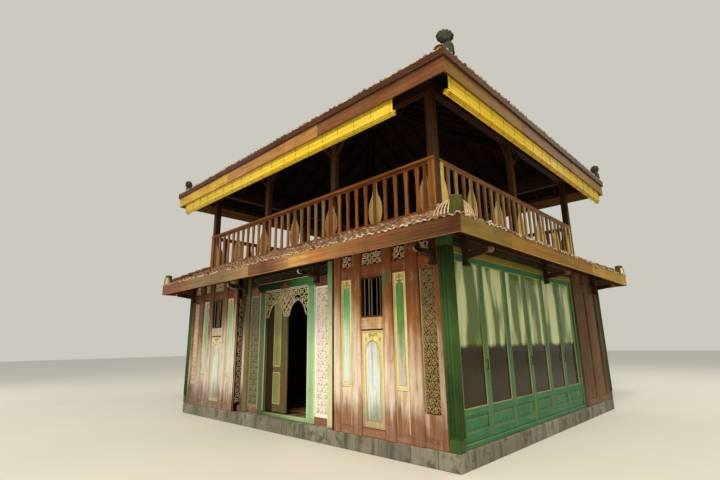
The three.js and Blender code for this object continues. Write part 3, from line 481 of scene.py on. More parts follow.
def make_finishes(colours):
    """Every finish of the house, by a short name."""
    teak, pale, green, door, teal, post, cream, red, clay, bamboo = (
        tuple(getattr(colours, name)) for name in HouseColours.__annotations__)
    dusty = (0.55, 0.56, 0.48)
    # Shares such as (0.26,) at the end of the doorway's finishes are painted shadow over the left of the
    # doorway.
    return {
        # The uprights' dark edges (edge_shade 0.35) are painted shade along them.
        "upright": timber(
            "carved teak uprights", "carved_teak", [scaled(teak, 0.70), teak, tinted(teak, 1.35, 1.75, 1.8)],
            0.6, (pale, 0.85, 2.45, 0.92, (0.37, 0.22, 0.165)), edge_shade=0.35, under_eave=True),
        "plain wall": timber(
            "weathered teak boards", "carved_teak",
            [(0.085, 0.046, 0.024), (0.13, 0.072, 0.036), (0.17, 0.115, 0.066)],
            0.65, ((0.34, 0.26, 0.16), 0.2, 1.6, 0.6)),
        "panel": painted(
            "green panel paint", "green_paint", green, PALE_WOOD, 0.45,
            bleach_and_sun=((0.80, 0.87, 0.84), 0.9, 2.1, 0.94, dusty)),
        # A darker, duller copy of the panel paint: painted shade over the panel by the right corner.
        "olive panel": painted(
            "panel green darkened as painted shade", "green_paint", tinted(green, 1.05, 0.60, 0.50), PALE_WOOD, 0.45,
            bleach_and_sun=((0.88, 0.72, 0.76), 0.9, 2.1, 0.9, dusty)),
        "cream": painted(
            "cream border paint", "carved_teak", cream, (0.30, 0.15, 0.06), 0.55, 0.55,
            ((0.86, 0.79, 0.54), 0.7, 1.9, 0.75, (0.60, 0.58, 0.50))),
        "pale blue": painted(
            "pale arch panel paint", "carved_teak", (0.50, 0.54, 0.48), (0.42, 0.30, 0.14), 0.5, 0.55,
            ((0.80, 0.88, 0.90), 1.15, 1.75, 0.9, (0.40, 0.40, 0.30))),
        "lace": painted(
            "pale carved lace", "carved_teak", (1.0, 0.97, 0.88), (0.84, 0.62, 0.50), 0.2, 0.6,
            ((1.0, 1.0, 0.96), 1.0, 2.6, 0.9), doorway_shadow=(0.32,)),
        "lace ground": timber(
            "rose ground of the lace", "dark_timber", [(0.58, 0.34, 0.27), (0.74, 0.51, 0.42)], 0.7,
            ((0.97, 0.85, 0.76), 0.9, 2.7, 0.85), doorway_shadow=(0.25,)),
        "window bar": painted(
            "greyish beige window bars", "carved_teak", (0.30, 0.235, 0.16), (0.14, 0.08, 0.045), 0.5, 0.6),
        "scroll": painted(
            "beige carved scrolls", "carved_teak", (0.50, 0.40, 0.20), (0.20, 0.095, 0.045), 0.55, 0.6,
            ((0.64, 0.50, 0.34), 0.5, 1.6, 0.6)),
        "dim scroll": painted(
            "dim scrolls over the doorway", "carved_teak", (0.135, 0.105, 0.055), (0.05, 0.03, 0.015), 0.5,
            0.6),
        "frieze scroll": painted(
            "pale scrolls of the friezes", "carved_teak", (0.90, 0.72, 0.50), (0.34, 0.17, 0.10), 0.45, 0.6),
        "valance": painted(
            "pale openwork", "carved_teak", (1.0, 0.88, 0.62), (0.50, 0.34, 0.18), 0.3, 0.6, doorway_shadow=(0.55,)),
        "bright line": painted(
            "cream edge line", "carved_teak", (0.95, 0.90, 0.66), (0.5, 0.42, 0.26), 0.2, 0.55,
            doorway_shadow=(0.6,)),
        "dark ground": timber(
            "dark ground of the scrolls", "dark_timber", [(0.012, 0.008, 0.005), (0.028, 0.017, 0.010)], 0.8),
        "carved red": timber(
            "red carved ornament", "red_teak", [(0.14, 0.040, 0.024), (0.24, 0.075, 0.038)], 0.6),
        "post green": painted(
            "dark green post paint", "dark_green_paint", post, (0.085, 0.045, 0.022), 0.5, 0.42),
        "door green": painted(
            "green doorway paint", "green_paint", door, PALE_WOOD, 0.45, 0.45,
            ((0.52, 0.76, 0.50), 0.6, 2.2, 0.6), cream, (0.26,)),
        "niche post": painted(
            "fading and sunlit green of the niche posts", "green_paint", tinted(door, 1.9, 1.15, 1.15), PALE_WOOD, 0.5,
            0.45, ((0.86, 0.82, 0.52), 1.1, 2.6, 0.80), cream, (0.30,)),
        # A darker copy of the door green: painted shade on the lintel under the eave.
        "lintel green": painted(
            "door green darkened as painted shade on the lintel", "green_paint", tinted(door, 0.5, 0.62, 0.5), DARK_WOOD, 0.5, 0.45,
            doorway_shadow=(0.10, 0.25)),
        # The leaves' green, lines and frame are darker than the doorway's paints: partly painted shade over
        # the leaves.
        "leaf green": painted(
            "yellowish green of the leaves", "green_paint", (0.21, 0.235, 0.080), (0.24, 0.19, 0.08), 0.4),
        "leaf line": painted(
            "dull cream lines of the leaves", "carved_teak", (0.46, 0.42, 0.17), (0.24, 0.19, 0.08), 0.5,
            0.6),
        "leaf frame": timber(
            "greyish brown frame of the leaves", "carved_teak",
            [(0.080, 0.056, 0.028), (0.150, 0.115, 0.055)], 0.65),
        "teal": painted(
            "teal folding door paint", "green_paint", teal, (0.24, 0.20, 0.09), 0.5, 0.42,
            (tinted(teal, 1.2, 1.25, 1.8), 0.2, 1.2, 0.9)),
        "glazing bead": painted(
            "pale green glazing beads", "green_paint", (0.30, 0.37, 0.15), (0.30, 0.26, 0.12)),
        "olive": timber(
            "olive brown head rail", "dark_timber",
            [(0.030, 0.024, 0.010), (0.075, 0.065, 0.020), (0.26, 0.235, 0.050)], 0.6),
        "fascia": timber(
            "eave boards", "red_teak",
            [(0.080, 0.032, 0.012), scaled(red, 0.62), tinted(red, 1.45, 1.95, 1.6), (0.190, 0.135, 0.085),
             (0.215, 0.142, 0.018), (0.56, 0.38, 0.055)], contrast=1.15, grime=0.35, edge_shade=1.6),
        "golden fascia": timber(
            "golden brown eave boards", "red_teak",
            [(0.095, 0.040, 0.004), (0.155, 0.073, 0.005), (0.25, 0.130, 0.012)],
            contrast=1.0, grime=0.25, edge_shade=1.6),
        "eave trim": timber(
            "plum brown eave trim", "red_teak", [(0.050, 0.020, 0.013), (0.090, 0.042, 0.027)], 0.6),
        # The palest tone is painted light on the side balustrades.
        "rail": timber(
            "balustrade teak", "carved_teak",
            [(0.085, 0.034, 0.010), (0.23, 0.080, 0.019), (0.21, 0.132, 0.060), (0.58, 0.43, 0.135)], 0.5,
            contrast=1.15, grime=0.15),
        "gallery post": timber(
            "dark brown gallery posts", "dark_timber", [(0.040, 0.018, 0.010), (0.085, 0.040, 0.014)], 0.6,
            contrast=1.3),
        "dark timber": timber(
            "dark stained timber", "dark_timber",
            [(0.030, 0.015, 0.010), (0.065, 0.028, 0.016), (0.12, 0.045, 0.023)], 0.6, contrast=0.7),
        # Near black: painted shade on the rafters, joists and boards under the roofs.
        "soffit": timber(
            "rafters darkened as painted shade under the roofs", "dark_timber", [(0.012, 0.007, 0.005), (0.030, 0.014, 0.009)], 0.8,
            contrast=0.7),
        "pale tip": painted(
            "pale carved tips", "carved_teak", (0.52, 0.40, 0.25), (0.20, 0.09, 0.045), 0.45, 0.6),
        "brown tip": painted(
            "brown carved tips", "carved_teak", (0.26, 0.13, 0.075), (0.12, 0.05, 0.025), 0.5, 0.6),
        "skirt tile": clay_tile("skirt roof tile", "roof_tile", tinted(clay, 1.0, 1.25, 1.3), 0.95),
        "roof tile": clay_tile("upper roof tile", "roof_tile", clay, 0.2),
        "cap tile": clay_tile("hip and ridge tile", "mossy_stone", (0.17, 0.072, 0.042), 0.5),
        "horn": weathered_stone(
            "pale eave horns", "mossy_stone", (0.62, 0.49, 0.33), (0.28, 0.24, 0.11), 0.05),
        "mossy block": weathered_stone(
            "mossy corner block", "mossy_stone", (0.098, 0.092, 0.026), (0.060, 0.074, 0.016), 0.35),
        "shell": weathered_stone(
            "dark shell ornament", "mossy_stone", (0.060, 0.062, 0.046), (0.040, 0.050, 0.026), 0.45),
        "plinth": weathered_stone("plinth stone", "stone", (0.24, 0.22, 0.18), (0.085, 0.105, 0.045), 0.55),
        "floor tile": clay_tile("floor tile", "stone", (0.22, 0.10, 0.055), 0.0),
        "bamboo": split_bamboo("split bamboo", "bamboo", bamboo),
        "cord": timber("blind cord", "bamboo", [(0.13, 0.075, 0.022), (0.20, 0.12, 0.04)], 0.8),
        "glass": clear_glass("window glass", "glass"),
    }


_finishes = {}


def finish_named(name):
    """The finish of a short name. All are made when the first is asked for."""
    if not _finishes:
        _finishes.update(make_finishes(bpy.context.scene.house_colours))
    return _finishes[name]


# Mesh building

def _chamfered_box():
    """Points, faces and edge marks of a box with cut edges.

    A point is given by the signs of its corner and the axis along which it lies out on the face."""
    signs = [(x, y, z) for x in (-1, 1) for y in (-1, 1) for z in (-1, 1)]
    points = [(sign, axis) for sign in signs for axis in range(3)]
    number = {point: i for i, point in enumerate(points)}

    def place(point):
        sign, axis = point
        return Vector([sign[k] * (1.0 if k == axis else 0.8) for k in range(3)])

    def outward(face):
        corners = [place(points[i]) for i in face]
        middle = sum(corners, Vector()) / len(corners)
        normal = (corners[1] - corners[0]).cross(corners[2] - corners[1])
        return tuple(face) if normal.dot(middle) > 0 else tuple(reversed(face))

    def corner(axis, side, u, v):
        """The signs of a corner from its side along one axis and u and v along the other two."""
        sign = [u, v]
        sign.insert(axis, side)
        return tuple(sign)

    faces, marks = [], []
    for axis in range(3):
        first, second = [k for k in range(3) if k != axis]
        for side in (-1, 1):
            ring = ((-1, -1), (1, -1), (1, 1), (-1, 1))
            faces.append(outward([number[(corner(axis, side, u, v), axis)] for u, v in ring]))
            marks.append(0.0)
        for u in (-1, 1):
            for v in (-1, 1):
                low, high = (corner(axis, side, u, v) for side in (-1, 1))
                ring = ((low, first), (high, first), (high, second), (low, second))
                faces.append(outward([number[point] for point in ring]))
                marks.append(1.0)
    for sign in signs:
        faces.append(outward([number[(sign, axis)] for axis in range(3)]))
        marks.append(1.0)
    return points, faces, marks


BOX_POINTS, BOX_FACES, BOX_EDGES = _chamfered_box()
GRAIN_ORDER = {"x": (0, 1, 2), "y": (1, 2, 0), "z": (2, 0, 1)}
GRAIN_SPREAD = 40.0
BEAM_CUT = 0.004


class Joinery:
    """Gathers boards, cut-outs and ribbons of one part, drawn as on the front wall, into one mesh.

    x runs along the wall, y runs inwards from the front and z runs up. Boards, cut-outs and ribbons
    take their depths from the job's face; tubes and beams take whole places. The first finish is the
    piece's first material and the others join as they are used."""

    def __init__(self, name, finish, seed, face=0.0):
        self.name = name
        self.finishes = [finish]
        self.chance = random.Random(seed)
        self.face = face
        self.points, self.grain, self.tones = [], [], []
        self.faces, self.paints, self.edges, self.smooth = [], [], [], []

    def add(self, points, faces, along="z", paint=None, tone=None, edges=None, smooth=False):
        start = len(self.points)
        shift = [self.chance.uniform(0.0, GRAIN_SPREAD) for _ in range(3)]
        if tone is None:
            tone = self.chance.random()
        if paint and paint not in self.finishes:
            self.finishes.append(paint)
        self.points += points
        self.grain += [tuple(point[k] + shift[k] for k in GRAIN_ORDER[along]) for point in points]
        self.tones += [tone] * len(points)
        self.faces += [tuple(start + i for i in face) for face in faces]
        self.paints += [self.finishes.index(paint) if paint else 0] * len(faces)
        self.edges += edges or [0.0] * len(faces)
        self.smooth += [smooth] * len(faces)

    def board(self, xs, ys, zs, along="z", cut=0.004, paint=None, tone=None):
        """A board that fills a run in each direction, its edges eased."""
        ys = [self.face + y for y in ys]
        ends = [sorted(run) for run in (xs, ys, zs)]
        cut = min(cut, *[0.45 * (high - low) for low, high in ends])
        points = [
            tuple(ends[k][sign[k] > 0] - (0.0 if k == axis else sign[k] * cut) for k in range(3))
            for sign, axis in BOX_POINTS]
        self.add(points, BOX_FACES, along, paint, tone, BOX_EDGES)

    def beam(self, start, end, width, depth, paint=None, tone=None):
        """A board of width across and depth up, along any line between two points."""
        start, end = Vector(start), Vector(end)
        forward = (end - start).normalized()
        across = Vector((forward.y, -forward.x, 0.0)).normalized()
        up = across.cross(forward)
        sizes = ((end - start).length / 2, width / 2, depth / 2)
        middle = (start + end) / 2
        points = []
        for sign, axis in BOX_POINTS:
            far = [sign[k] * (sizes[k] - (0.0 if k == axis else BEAM_CUT)) for k in range(3)]
            points.append(tuple(middle + forward * far[0] + across * far[1] + up * far[2]))
        first = len(self.points)
        self.add(points, [tuple(reversed(face)) for face in BOX_FACES], "x", paint, tone, BOX_EDGES)
        base = [self.chance.uniform(0.0, GRAIN_SPREAD) for _ in range(3)]
        self.grain[first:] = [tuple(base[k] + sign[k] * sizes[k] for k in range(3)) for sign, _ in BOX_POINTS]

    def cutout(self, outline, front, back, along="z", cut=0.004, paint=None, tone=None):
        """A flat board cut to an outline of (x, z) points, between the depths front and back."""
        area = sum(a[0] * b[1] - b[0] * a[1] for a, b in zip(outline, outline[1:] + outline[:1]))
        if area < 0:
            outline = list(reversed(outline))
        count = len(outline)
        points = [(x, self.face + front, z) for x, z in inset(outline, cut)]
        points += [(x, self.face + front + cut, z) for x, z in outline]
        points += [(x, self.face + back, z) for x, z in outline]
        faces = [tuple(range(count)), tuple(range(3 * count - 1, 2 * count - 1, -1))]
        for row in (0, count):
            for i in range(count):
                j = (i + 1) % count
                faces.append((row + i, row + count + i, row + count + j, row + j))
        self.add(points, faces, along, paint, tone, [0.0] * 2 + [1.0] * count + [0.0] * count)

    def ribbon(self, path, width, height, depth, paint=None, tone=None, both=False):
        """A carved strand of width(t) that follows a path of (x, z) points and stands out from a depth.

        It has a back as well where both sides show."""
        last = len(path) - 1
        base = self.face + depth
        points, faces = [], []
        for i, (x, z) in enumerate(path):
            before, after = path[max(0, i - 1)], path[min(last, i + 1)]
            tangent = Vector((after[0] - before[0], after[1] - before[1])).normalized()
            size = width(i / last) if callable(width) else width
            side = Vector((-tangent.y, tangent.x)) * (size / 2)
            for reach, rise in ((-1.0, 0.0), (-0.55, height), (0.55, height), (1.0, 0.0)):
                points.append((x + side.x * reach, base - rise, z + side.y * reach))
        sides = 4 if both else 3
        for a in range(0, 4 * last, 4):
            for k in range(sides):
                m = (k + 1) % 4
                faces.append((a + k, a + 4 + k, a + 4 + m, a + m))
        self.add(points, faces, "z", paint, tone, [0.0, 1.0, 0.0, 0.0][:sides] * last)

    def tube(self, path, radius, sides=8, paint=None, tone=None, along="z"):
        """A round bar that follows a path of points."""
        points = []
        path = [Vector(point) for point in path]
        last = len(path) - 1
        for i, centre in enumerate(path):
            forward = (path[min(last, i + 1)] - path[max(0, i - 1)]).normalized()
            first = forward.orthogonal().normalized() if i == 0 else first - forward * first.dot(forward)
            first = first.normalized()
            second = forward.cross(first)
            size = radius(i / last) if callable(radius) else radius
            for k in range(sides):
                angle = 2 * math.pi * k / sides
                points.append(tuple(centre + (first * math.cos(angle) + second * math.sin(angle)) * size))
        faces = ring_faces(last, sides)
        faces.append(tuple(reversed(range(sides))))
        faces.append(tuple(range(last * sides, (last + 1) * sides)))
        self.add(points, faces, along, paint, tone, None, True)

    def move(self, start, change):
        """Puts each point added since start where change(x, y, z) says."""
        self.points[start:] = [tuple(change(*point)) for point in self.points[start:]]

    def turn(self, start, side):
        """Turns the points added since start from the front to a side of the house."""
        turn = Matrix.Rotation(TURN[side] * math.pi / 2, 4, "Z")
        self.move(start, lambda *point: turn @ Vector(point))

    def make(self, side="front", replaces=(), body="house"):
        """The finished object, turned to its side of the house and riding on its body."""
        mesh = bpy.data.meshes.new(self.name)
        mesh.from_pydata(self.points, [], self.faces)
        if side != "front":
            mesh.transform(Matrix.Rotation(TURN[side] * math.pi / 2, 4, "Z"))
        for name, kind, domain, field, values in (
            ("grain", "FLOAT_VECTOR", "POINT", "vector", [part for point in self.grain for part in point]),
            ("tone", "FLOAT", "POINT", "value", self.tones),
            ("edge", "FLOAT", "FACE", "value", self.edges),
        ):
            mesh.attributes.new(name, kind, domain).data.foreach_set(field, values)
        mesh.polygons.foreach_set("material_index", self.paints)
        mesh.polygons.foreach_set("use_smooth", self.smooth)
        for name in self.finishes:
            mesh.materials.append(finish_named(name).material)
        mesh.validate()
        piece = bpy.data.objects.new(self.name, mesh)
        bpy.context.scene.collection.objects.link(piece)
        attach(piece, body)
        if replaces:
            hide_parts(*replaces)
        finish_named(self.finishes[0]).slot


def ring_faces(steps, sides):
    """Faces between rings of points that follow each other."""
    faces = []
    for a in range(0, steps * sides, sides):
        for k in range(sides):
            m = (k + 1) % sides
            faces.append((a + k, a + m, a + sides + m, a + sides + k))
    return faces


def inset(outline, amount):
    """The outline, wound anticlockwise, drawn in by an amount at each point."""
    result = []
    for before, here, after in zip(outline[-1:] + outline[:-1], outline, outline[1:] + outline[:1]):
        first = (Vector(here) - Vector(before)).normalized()
        second = (Vector(after) - Vector(here)).normalized()
        normal = Vector((-first.y - second.y, first.x + second.x))
        shift = normal.normalized() * (amount / max(0.35, normal.length / 2))
        result.append((here[0] + shift.x, here[1] + shift.y))
    return result


# Carving

def spiral(x, z, size, start, turns, count, small=0.16):
    """Points of a curl that winds in to a centre; a negative number of turns winds clockwise."""
    path = []
    for i in range(count):
        t = i / (count - 1)
        radius = size * ((1 - t) ** 0.75 * (1 - small) + small)
        angle = start + turns * 2 * math.pi * t
        path.append((x + radius * math.cos(angle), z + radius * math.sin(angle)))
    return path


def bow(first, last, lift, count=6):
    """Points of a gentle bow between two points."""
    a, b = Vector(first), Vector(last)
    side = Vector((a.y - b.y, b.x - a.x))
    path = []
    for i in range(count):
        t = i / (count - 1)
        point = a.lerp(b, t) + side * (lift * math.sin(math.pi * t))
        path.append((point.x, point.y))
    return path


def strand(width):
    """Width of a carved stem along its run: it tapers towards the end."""
    return lambda t: width * (1.0 - 0.45 * t)


def leaf(width):
    """Width of a carved leaf along its run: it is widest in the middle."""
    return lambda t: width * max(0.12, math.sin(math.pi * min(1.0, t * 0.92 + 0.06)) ** 0.8)


def vine_cell(job, x, z, wide, high, depth, paint, mirror, relief, bold, both=False, keep=None):
    """One repeat of the vine: a curl in the middle, a leaf into each corner and a bud beside it."""
    size = 0.39 * min(wide, high)
    thick = size * bold
    look = (depth, paint, None, both)
    start = job.chance.uniform(-0.35, 0.35) - math.pi / 2
    job.ribbon(spiral(x, z, size, start, 1.35 * mirror, 14, 0.12), strand(thick), relief, *look)
    for sx in (-1, 1):
        for sz in (-1, 1):
            foot = (x + sx * size * 0.72, z + sz * size * 0.55)
            tip = (x + sx * wide * 0.44, z + sz * high * 0.47)
            if not keep or keep(*tip):
                petal = bow(foot, tip, 0.28 * sx * sz * mirror, 5)
                job.ribbon(petal, leaf(thick * 1.15), relief * 0.8, *look)
    for sz in (-1, 1):
        foot = (x - mirror * size * 0.3, z + sz * size * 0.9)
        tip = (x + mirror * size * 0.1 * sz, z + sz * high * 0.49)
        if high > wide * 1.15 and (not keep or keep(*tip)):
            job.ribbon(bow(foot, tip, 0.3 * sz, 5), leaf(thick * 1.3), relief * 0.9, *look)


def vine_field(job, xs, zs, depth, paint, cell, columns, relief, bold=0.46):
    """A field of the vine in mirrored columns, each curl turned against its neighbours."""
    (x0, x1), (z0, z1) = xs, zs
    rows = max(1, round((z1 - z0) / cell))
    high, wide = (z1 - z0) / rows, (x1 - x0) / columns
    for i in range(rows):
        for k in range(columns):
            mirror = 1 if (i + k) % 2 else -1
            vine_cell(job, x0 + (k + 0.5) * wide, z0 + (i + 0.5) * high, wide, high, depth, paint, mirror,
                      relief, bold)


def vine_frieze(job, xs, zs, depth, paint, relief):
    """A level panel with two rows of the vine."""
    high = zs[1] - zs[0]
    columns = max(2, round((xs[1] - xs[0]) / (high * 0.52)))
    vine_field(job, xs, zs, depth, paint, high / 2, columns, relief)


def moulded_frame(job, xs, ys, zs, width, paint, tone):
    """Four border strips round an upright rectangle."""
    (x0, x1), (z0, z1) = xs, zs
    between = (x0 + width, x1 - width)
    job.board((x0, x0 + width), ys, zs, "z", 0.003, paint, tone)
    job.board((x1 - width, x1), ys, zs, "z", 0.003, paint, tone)
    job.board(between, ys, (z1 - width, z1), "x", 0.003, paint, tone)
    job.board(between, ys, (z0, z0 + width), "x", 0.003, paint, tone)


def mirrored(side, a, b):
    """The run from a to b on the right, or its mirror image on the left."""
    return (side * a, side * b) if side > 0 else (side * b, side * a)


def face_and_half(side, x, y):
    """How far out a side of the house lies and half its length, for half sizes x and y."""
    return (y, x) if side in ("front", "back") else (x, y)


# Pieces

# Runs of the front wall's uprights from the middle outwards, and heights of its rails and openings
UPRIGHTS = ((1.50, 1.69), (1.95, 2.15), (2.60, 2.79), (3.05, 3.27), (3.54, 3.63))
TOP_RAIL = (2.54, 2.73)
SILL_RAIL = (1.74, 1.92)
FOOT_RAIL = 0.34
NICHE = 1.50
WINDOW = (1.94, 2.51)
SILL = 0.28
LINTEL = 2.58


def plinth_and_floor():
    """Stones round the edge and square tiles on the floor."""
    job = Joinery("plinth_stones", "plinth", 3)
    rim, shortest = 0.25, 0.2
    for side in TURN:
        face, length = face_and_half(side, WALL_X, WALL_Y)
        reach = length if face == WALL_Y else length - rim
        start, run = len(job.points), -length
        while run < length - 0.001:
            step = min(job.chance.uniform(0.42, 0.62), length - run)
            if length - run - step < shortest:
                step = length - run
            a, b = max(run, -reach), min(run + step, reach)
            if b - a > 0.02:
                job.board((a + 0.002, b - 0.002), (-face, -face + rim), (0.0, FLOOR), "x", 0.010)
            run += step
        job.turn(start, side)
    tile, joint = 0.30, 0.003
    across, deep = WALL_X - rim, WALL_Y - rim
    for i in range(math.ceil(2 * across / tile)):
        for j in range(math.ceil(2 * deep / tile)):
            x, y = -across + i * tile, -deep + j * tile
            xs = (x + joint, min(x + tile, across) - joint)
            ys = (y + joint, min(y + tile, deep) - joint)
            job.board(xs, ys, (FLOOR - 0.05, FLOOR), "x", 0.004, "floor tile")
    job.board((-across, across), (-deep, deep), (0.0, FLOOR - 0.012), "x", 0.004, None, 0.2)
    job.make(replaces=("plinth_floor",))


def corner_posts():
    """Square posts with three round beads between grooves on each outer face."""
    job = Joinery("corner_posts", "post green", 5)
    proud = 0.006
    for sx in (-1, 1):
        for sy in (-1, 1):
            outer, inner = sx * WALL_X, sx * (WALL_X - POST)
            face, back = sy * WALL_Y, sy * (WALL_Y - POST)
            job.board((outer - sx * proud, inner), (face - sy * proud, back), (FLOOR, WALL_TOP), "z", 0.012)
            for part in (0.16, 0.50, 0.84):
                a, b = outer + (inner - outer) * part, face + (back - face) * part
                for x, y in ((a, face - sy * 0.001), (outer - sx * 0.001, b)):
                    for groove in (-0.019, 0.019):
                        gx, gy = (x + groove, y) if y != b else (x, y + groove)
                        job.tube([(gx, gy, FLOOR + 0.18), (gx, gy, WALL_TOP - 0.16)], 0.0065, 6, None, 0.0)
                    job.tube([(x, y, FLOOR + 0.17), (x, y, WALL_TOP - 0.15)], 0.015)
            for zs in ((FLOOR, FLOOR + 0.16), (WALL_TOP - 0.14, WALL_TOP)):
                job.board((outer, inner), (face, back), zs, "z", 0.01)
    job.make(replaces=[f"corner_post_{a}_{b}" for a in ("front", "back") for b in ("right", "left")])


# Gaps between an upright and the panel on its right and on its left
SHADOW_GAP = 0.018
THIN_GAP = 0.004


def barred_window(job, xs, ys, bars, frame_paint):
    """Bars, lips and lining of a small window."""
    (x0, x1), (front, back), (z0, z1) = xs, ys, WINDOW
    for i in range(bars):
        x = x0 + (x1 - x0) * (i + 0.5 + job.chance.uniform(-0.28, 0.28)) / bars
        half = job.chance.uniform(0.003, 0.007)
        job.board((x - half, x + half), (front + 0.018, front + 0.034), WINDOW, "z", 0.002, "window bar")
    for zs, tone in (((z0 - 0.022, z0), 0.7), ((z1, z1 + 0.02), 0.2)):
        job.board((x0 - 0.012, x1 + 0.012), (front - 0.004, front + 0.03), zs, "x", 0.004, frame_paint, tone)
    for x, far in ((x0, x0 - 0.014), (x1, x1 + 0.014)):
        job.board((x, far), (front + 0.004, back), WINDOW, "z", 0.003, frame_paint, 0.1)


def carved_head(job, xs, z):
    """A small spray of leaves at the head of a long panel."""
    middle, half = sum(xs) / 2, (xs[1] - xs[0]) / 2
    look = (0.030, "scroll")
    for side in (-1, 1):
        reach = side * half
        curl = spiral(middle + reach * 0.52, z, half * 0.30, -math.pi / 2, 1.1 * side, 12)
        job.ribbon(curl, strand(0.010), 0.008, *look)
        petal = bow((middle, z - 0.045), (middle + reach * 0.9, z - 0.035), -0.25 * side)
        job.ribbon(petal, leaf(0.020), 0.007, *look)
        petal = bow((middle + reach * 0.1, z), (middle + reach * 0.45, z + 0.06), 0.2 * side)
        job.ribbon(petal, leaf(0.016), 0.007, *look)
    job.ribbon(bow((middle, z - 0.05), (middle, z + 0.06), 0.0), leaf(0.022), 0.010, *look)


def long_panel(job, xs, pointed, paint="panel"):
    """A green panel in its cream border, with carving at the head and a dark joint on each side."""
    x0, x1 = xs[0] + SHADOW_GAP, xs[1] - THIN_GAP
    z0, z1 = zs = FOOT_RAIL, TOP_RAIL[0]
    back, border = 0.036, 0.030
    job.board((x0, x1), (0.030, 0.062), zs, "z", 0.002, "cream", 0.5)
    apron, sill, top = z0 + 0.55, z0 + 0.62, z1 - (0.19 if pointed else 0.15)
    left, right = x0 + 0.045, x1 - 0.060
    outline = [(left, sill), (right, sill), (right, top)]
    if pointed:
        middle = (left + right) / 2
        outline += [(right - 0.012, top + 0.030), (middle + 0.028, top + 0.045), (middle, top + 0.085),
                    (middle - 0.028, top + 0.045), (left + 0.012, top + 0.030)]
    job.cutout([*outline, (left, top)], 0.024, back, "z", 0.003, paint, 0.5)
    between = (x0 + border * 0.5, x1 - border)
    for run, front, heights, along, cut, finish, tone in (
        ((x0, between[0]), 0.010, zs, "z", 0.004, "cream", 0.8),
        ((between[1], x1), 0.010, zs, "z", 0.004, "cream", 0.2),
        (between, 0.014, (z1 - 0.03, z1), "x", 0.004, "cream", 0.9),
        (between, 0.014, (apron, apron + 0.03), "x", 0.004, "cream", 0.6),
        (between, 0.022, (z0, apron), "z", 0.003, "upright", 0.9),
    ):
        job.board(run, (front, back), heights, along, cut, finish, tone)
    carved_head(job, (x0 + 0.03, x1 - 0.04), top + (0.125 if pointed else 0.06))


def arched_panel(job, xs):
    """A cream panel with a blind arch under the window."""
    z0, z1 = zs = FOOT_RAIL + 0.01, SILL_RAIL[0] - 0.02
    job.board(xs, (0.026, 0.060), zs, "z", 0.002, "cream", 0.6)
    middle, half = sum(xs) / 2, (xs[1] - xs[0]) / 2 - 0.075
    spring = z1 - 0.34
    arch = [(-half, z0 + 0.10), (half, z0 + 0.10), (half, spring)]
    arch += [(half * part, spring + rise) for part, rise in (
        (0.96, 0.06), (0.87, 0.11), (0.70, 0.15), (0.46, 0.175), (0.20, 0.186), (0.07, 0.194), (0.0, 0.212))]
    right = [(middle + x, z) for x, z in arch]
    left = [(middle - x, z) for x, z in reversed(arch[:-1])]
    job.cutout(right + left[:-2], 0.018, 0.030, "z", 0.004, "pale blue", 0.5)
    job.ribbon(right[1:] + left[:-1], 0.018, 0.014, 0.022, "cream", 0.9)
    look = (0.026, "scroll")
    for side in (-1, 1):
        reach = side * half
        low_curl = spiral(middle + reach * 0.95, z1 - 0.13, 0.026, 1.2, -1.1 * side, 12)
        high_curl = spiral(middle + reach * 0.45, z1 - 0.065, 0.028, 0.0, 1.1 * side, 12)
        spray = bow((middle, z1 - 0.10), (middle + reach * 0.42, z1 - 0.045), 0.2 * side)
        job.ribbon(high_curl, strand(0.009), 0.008, *look)
        job.ribbon(low_curl, strand(0.008), 0.008, *look)
        job.ribbon(spray, leaf(0.016), 0.007, *look)
    moulded_frame(job, xs, (0.010, 0.03), zs, 0.016, "cream", 0.9)


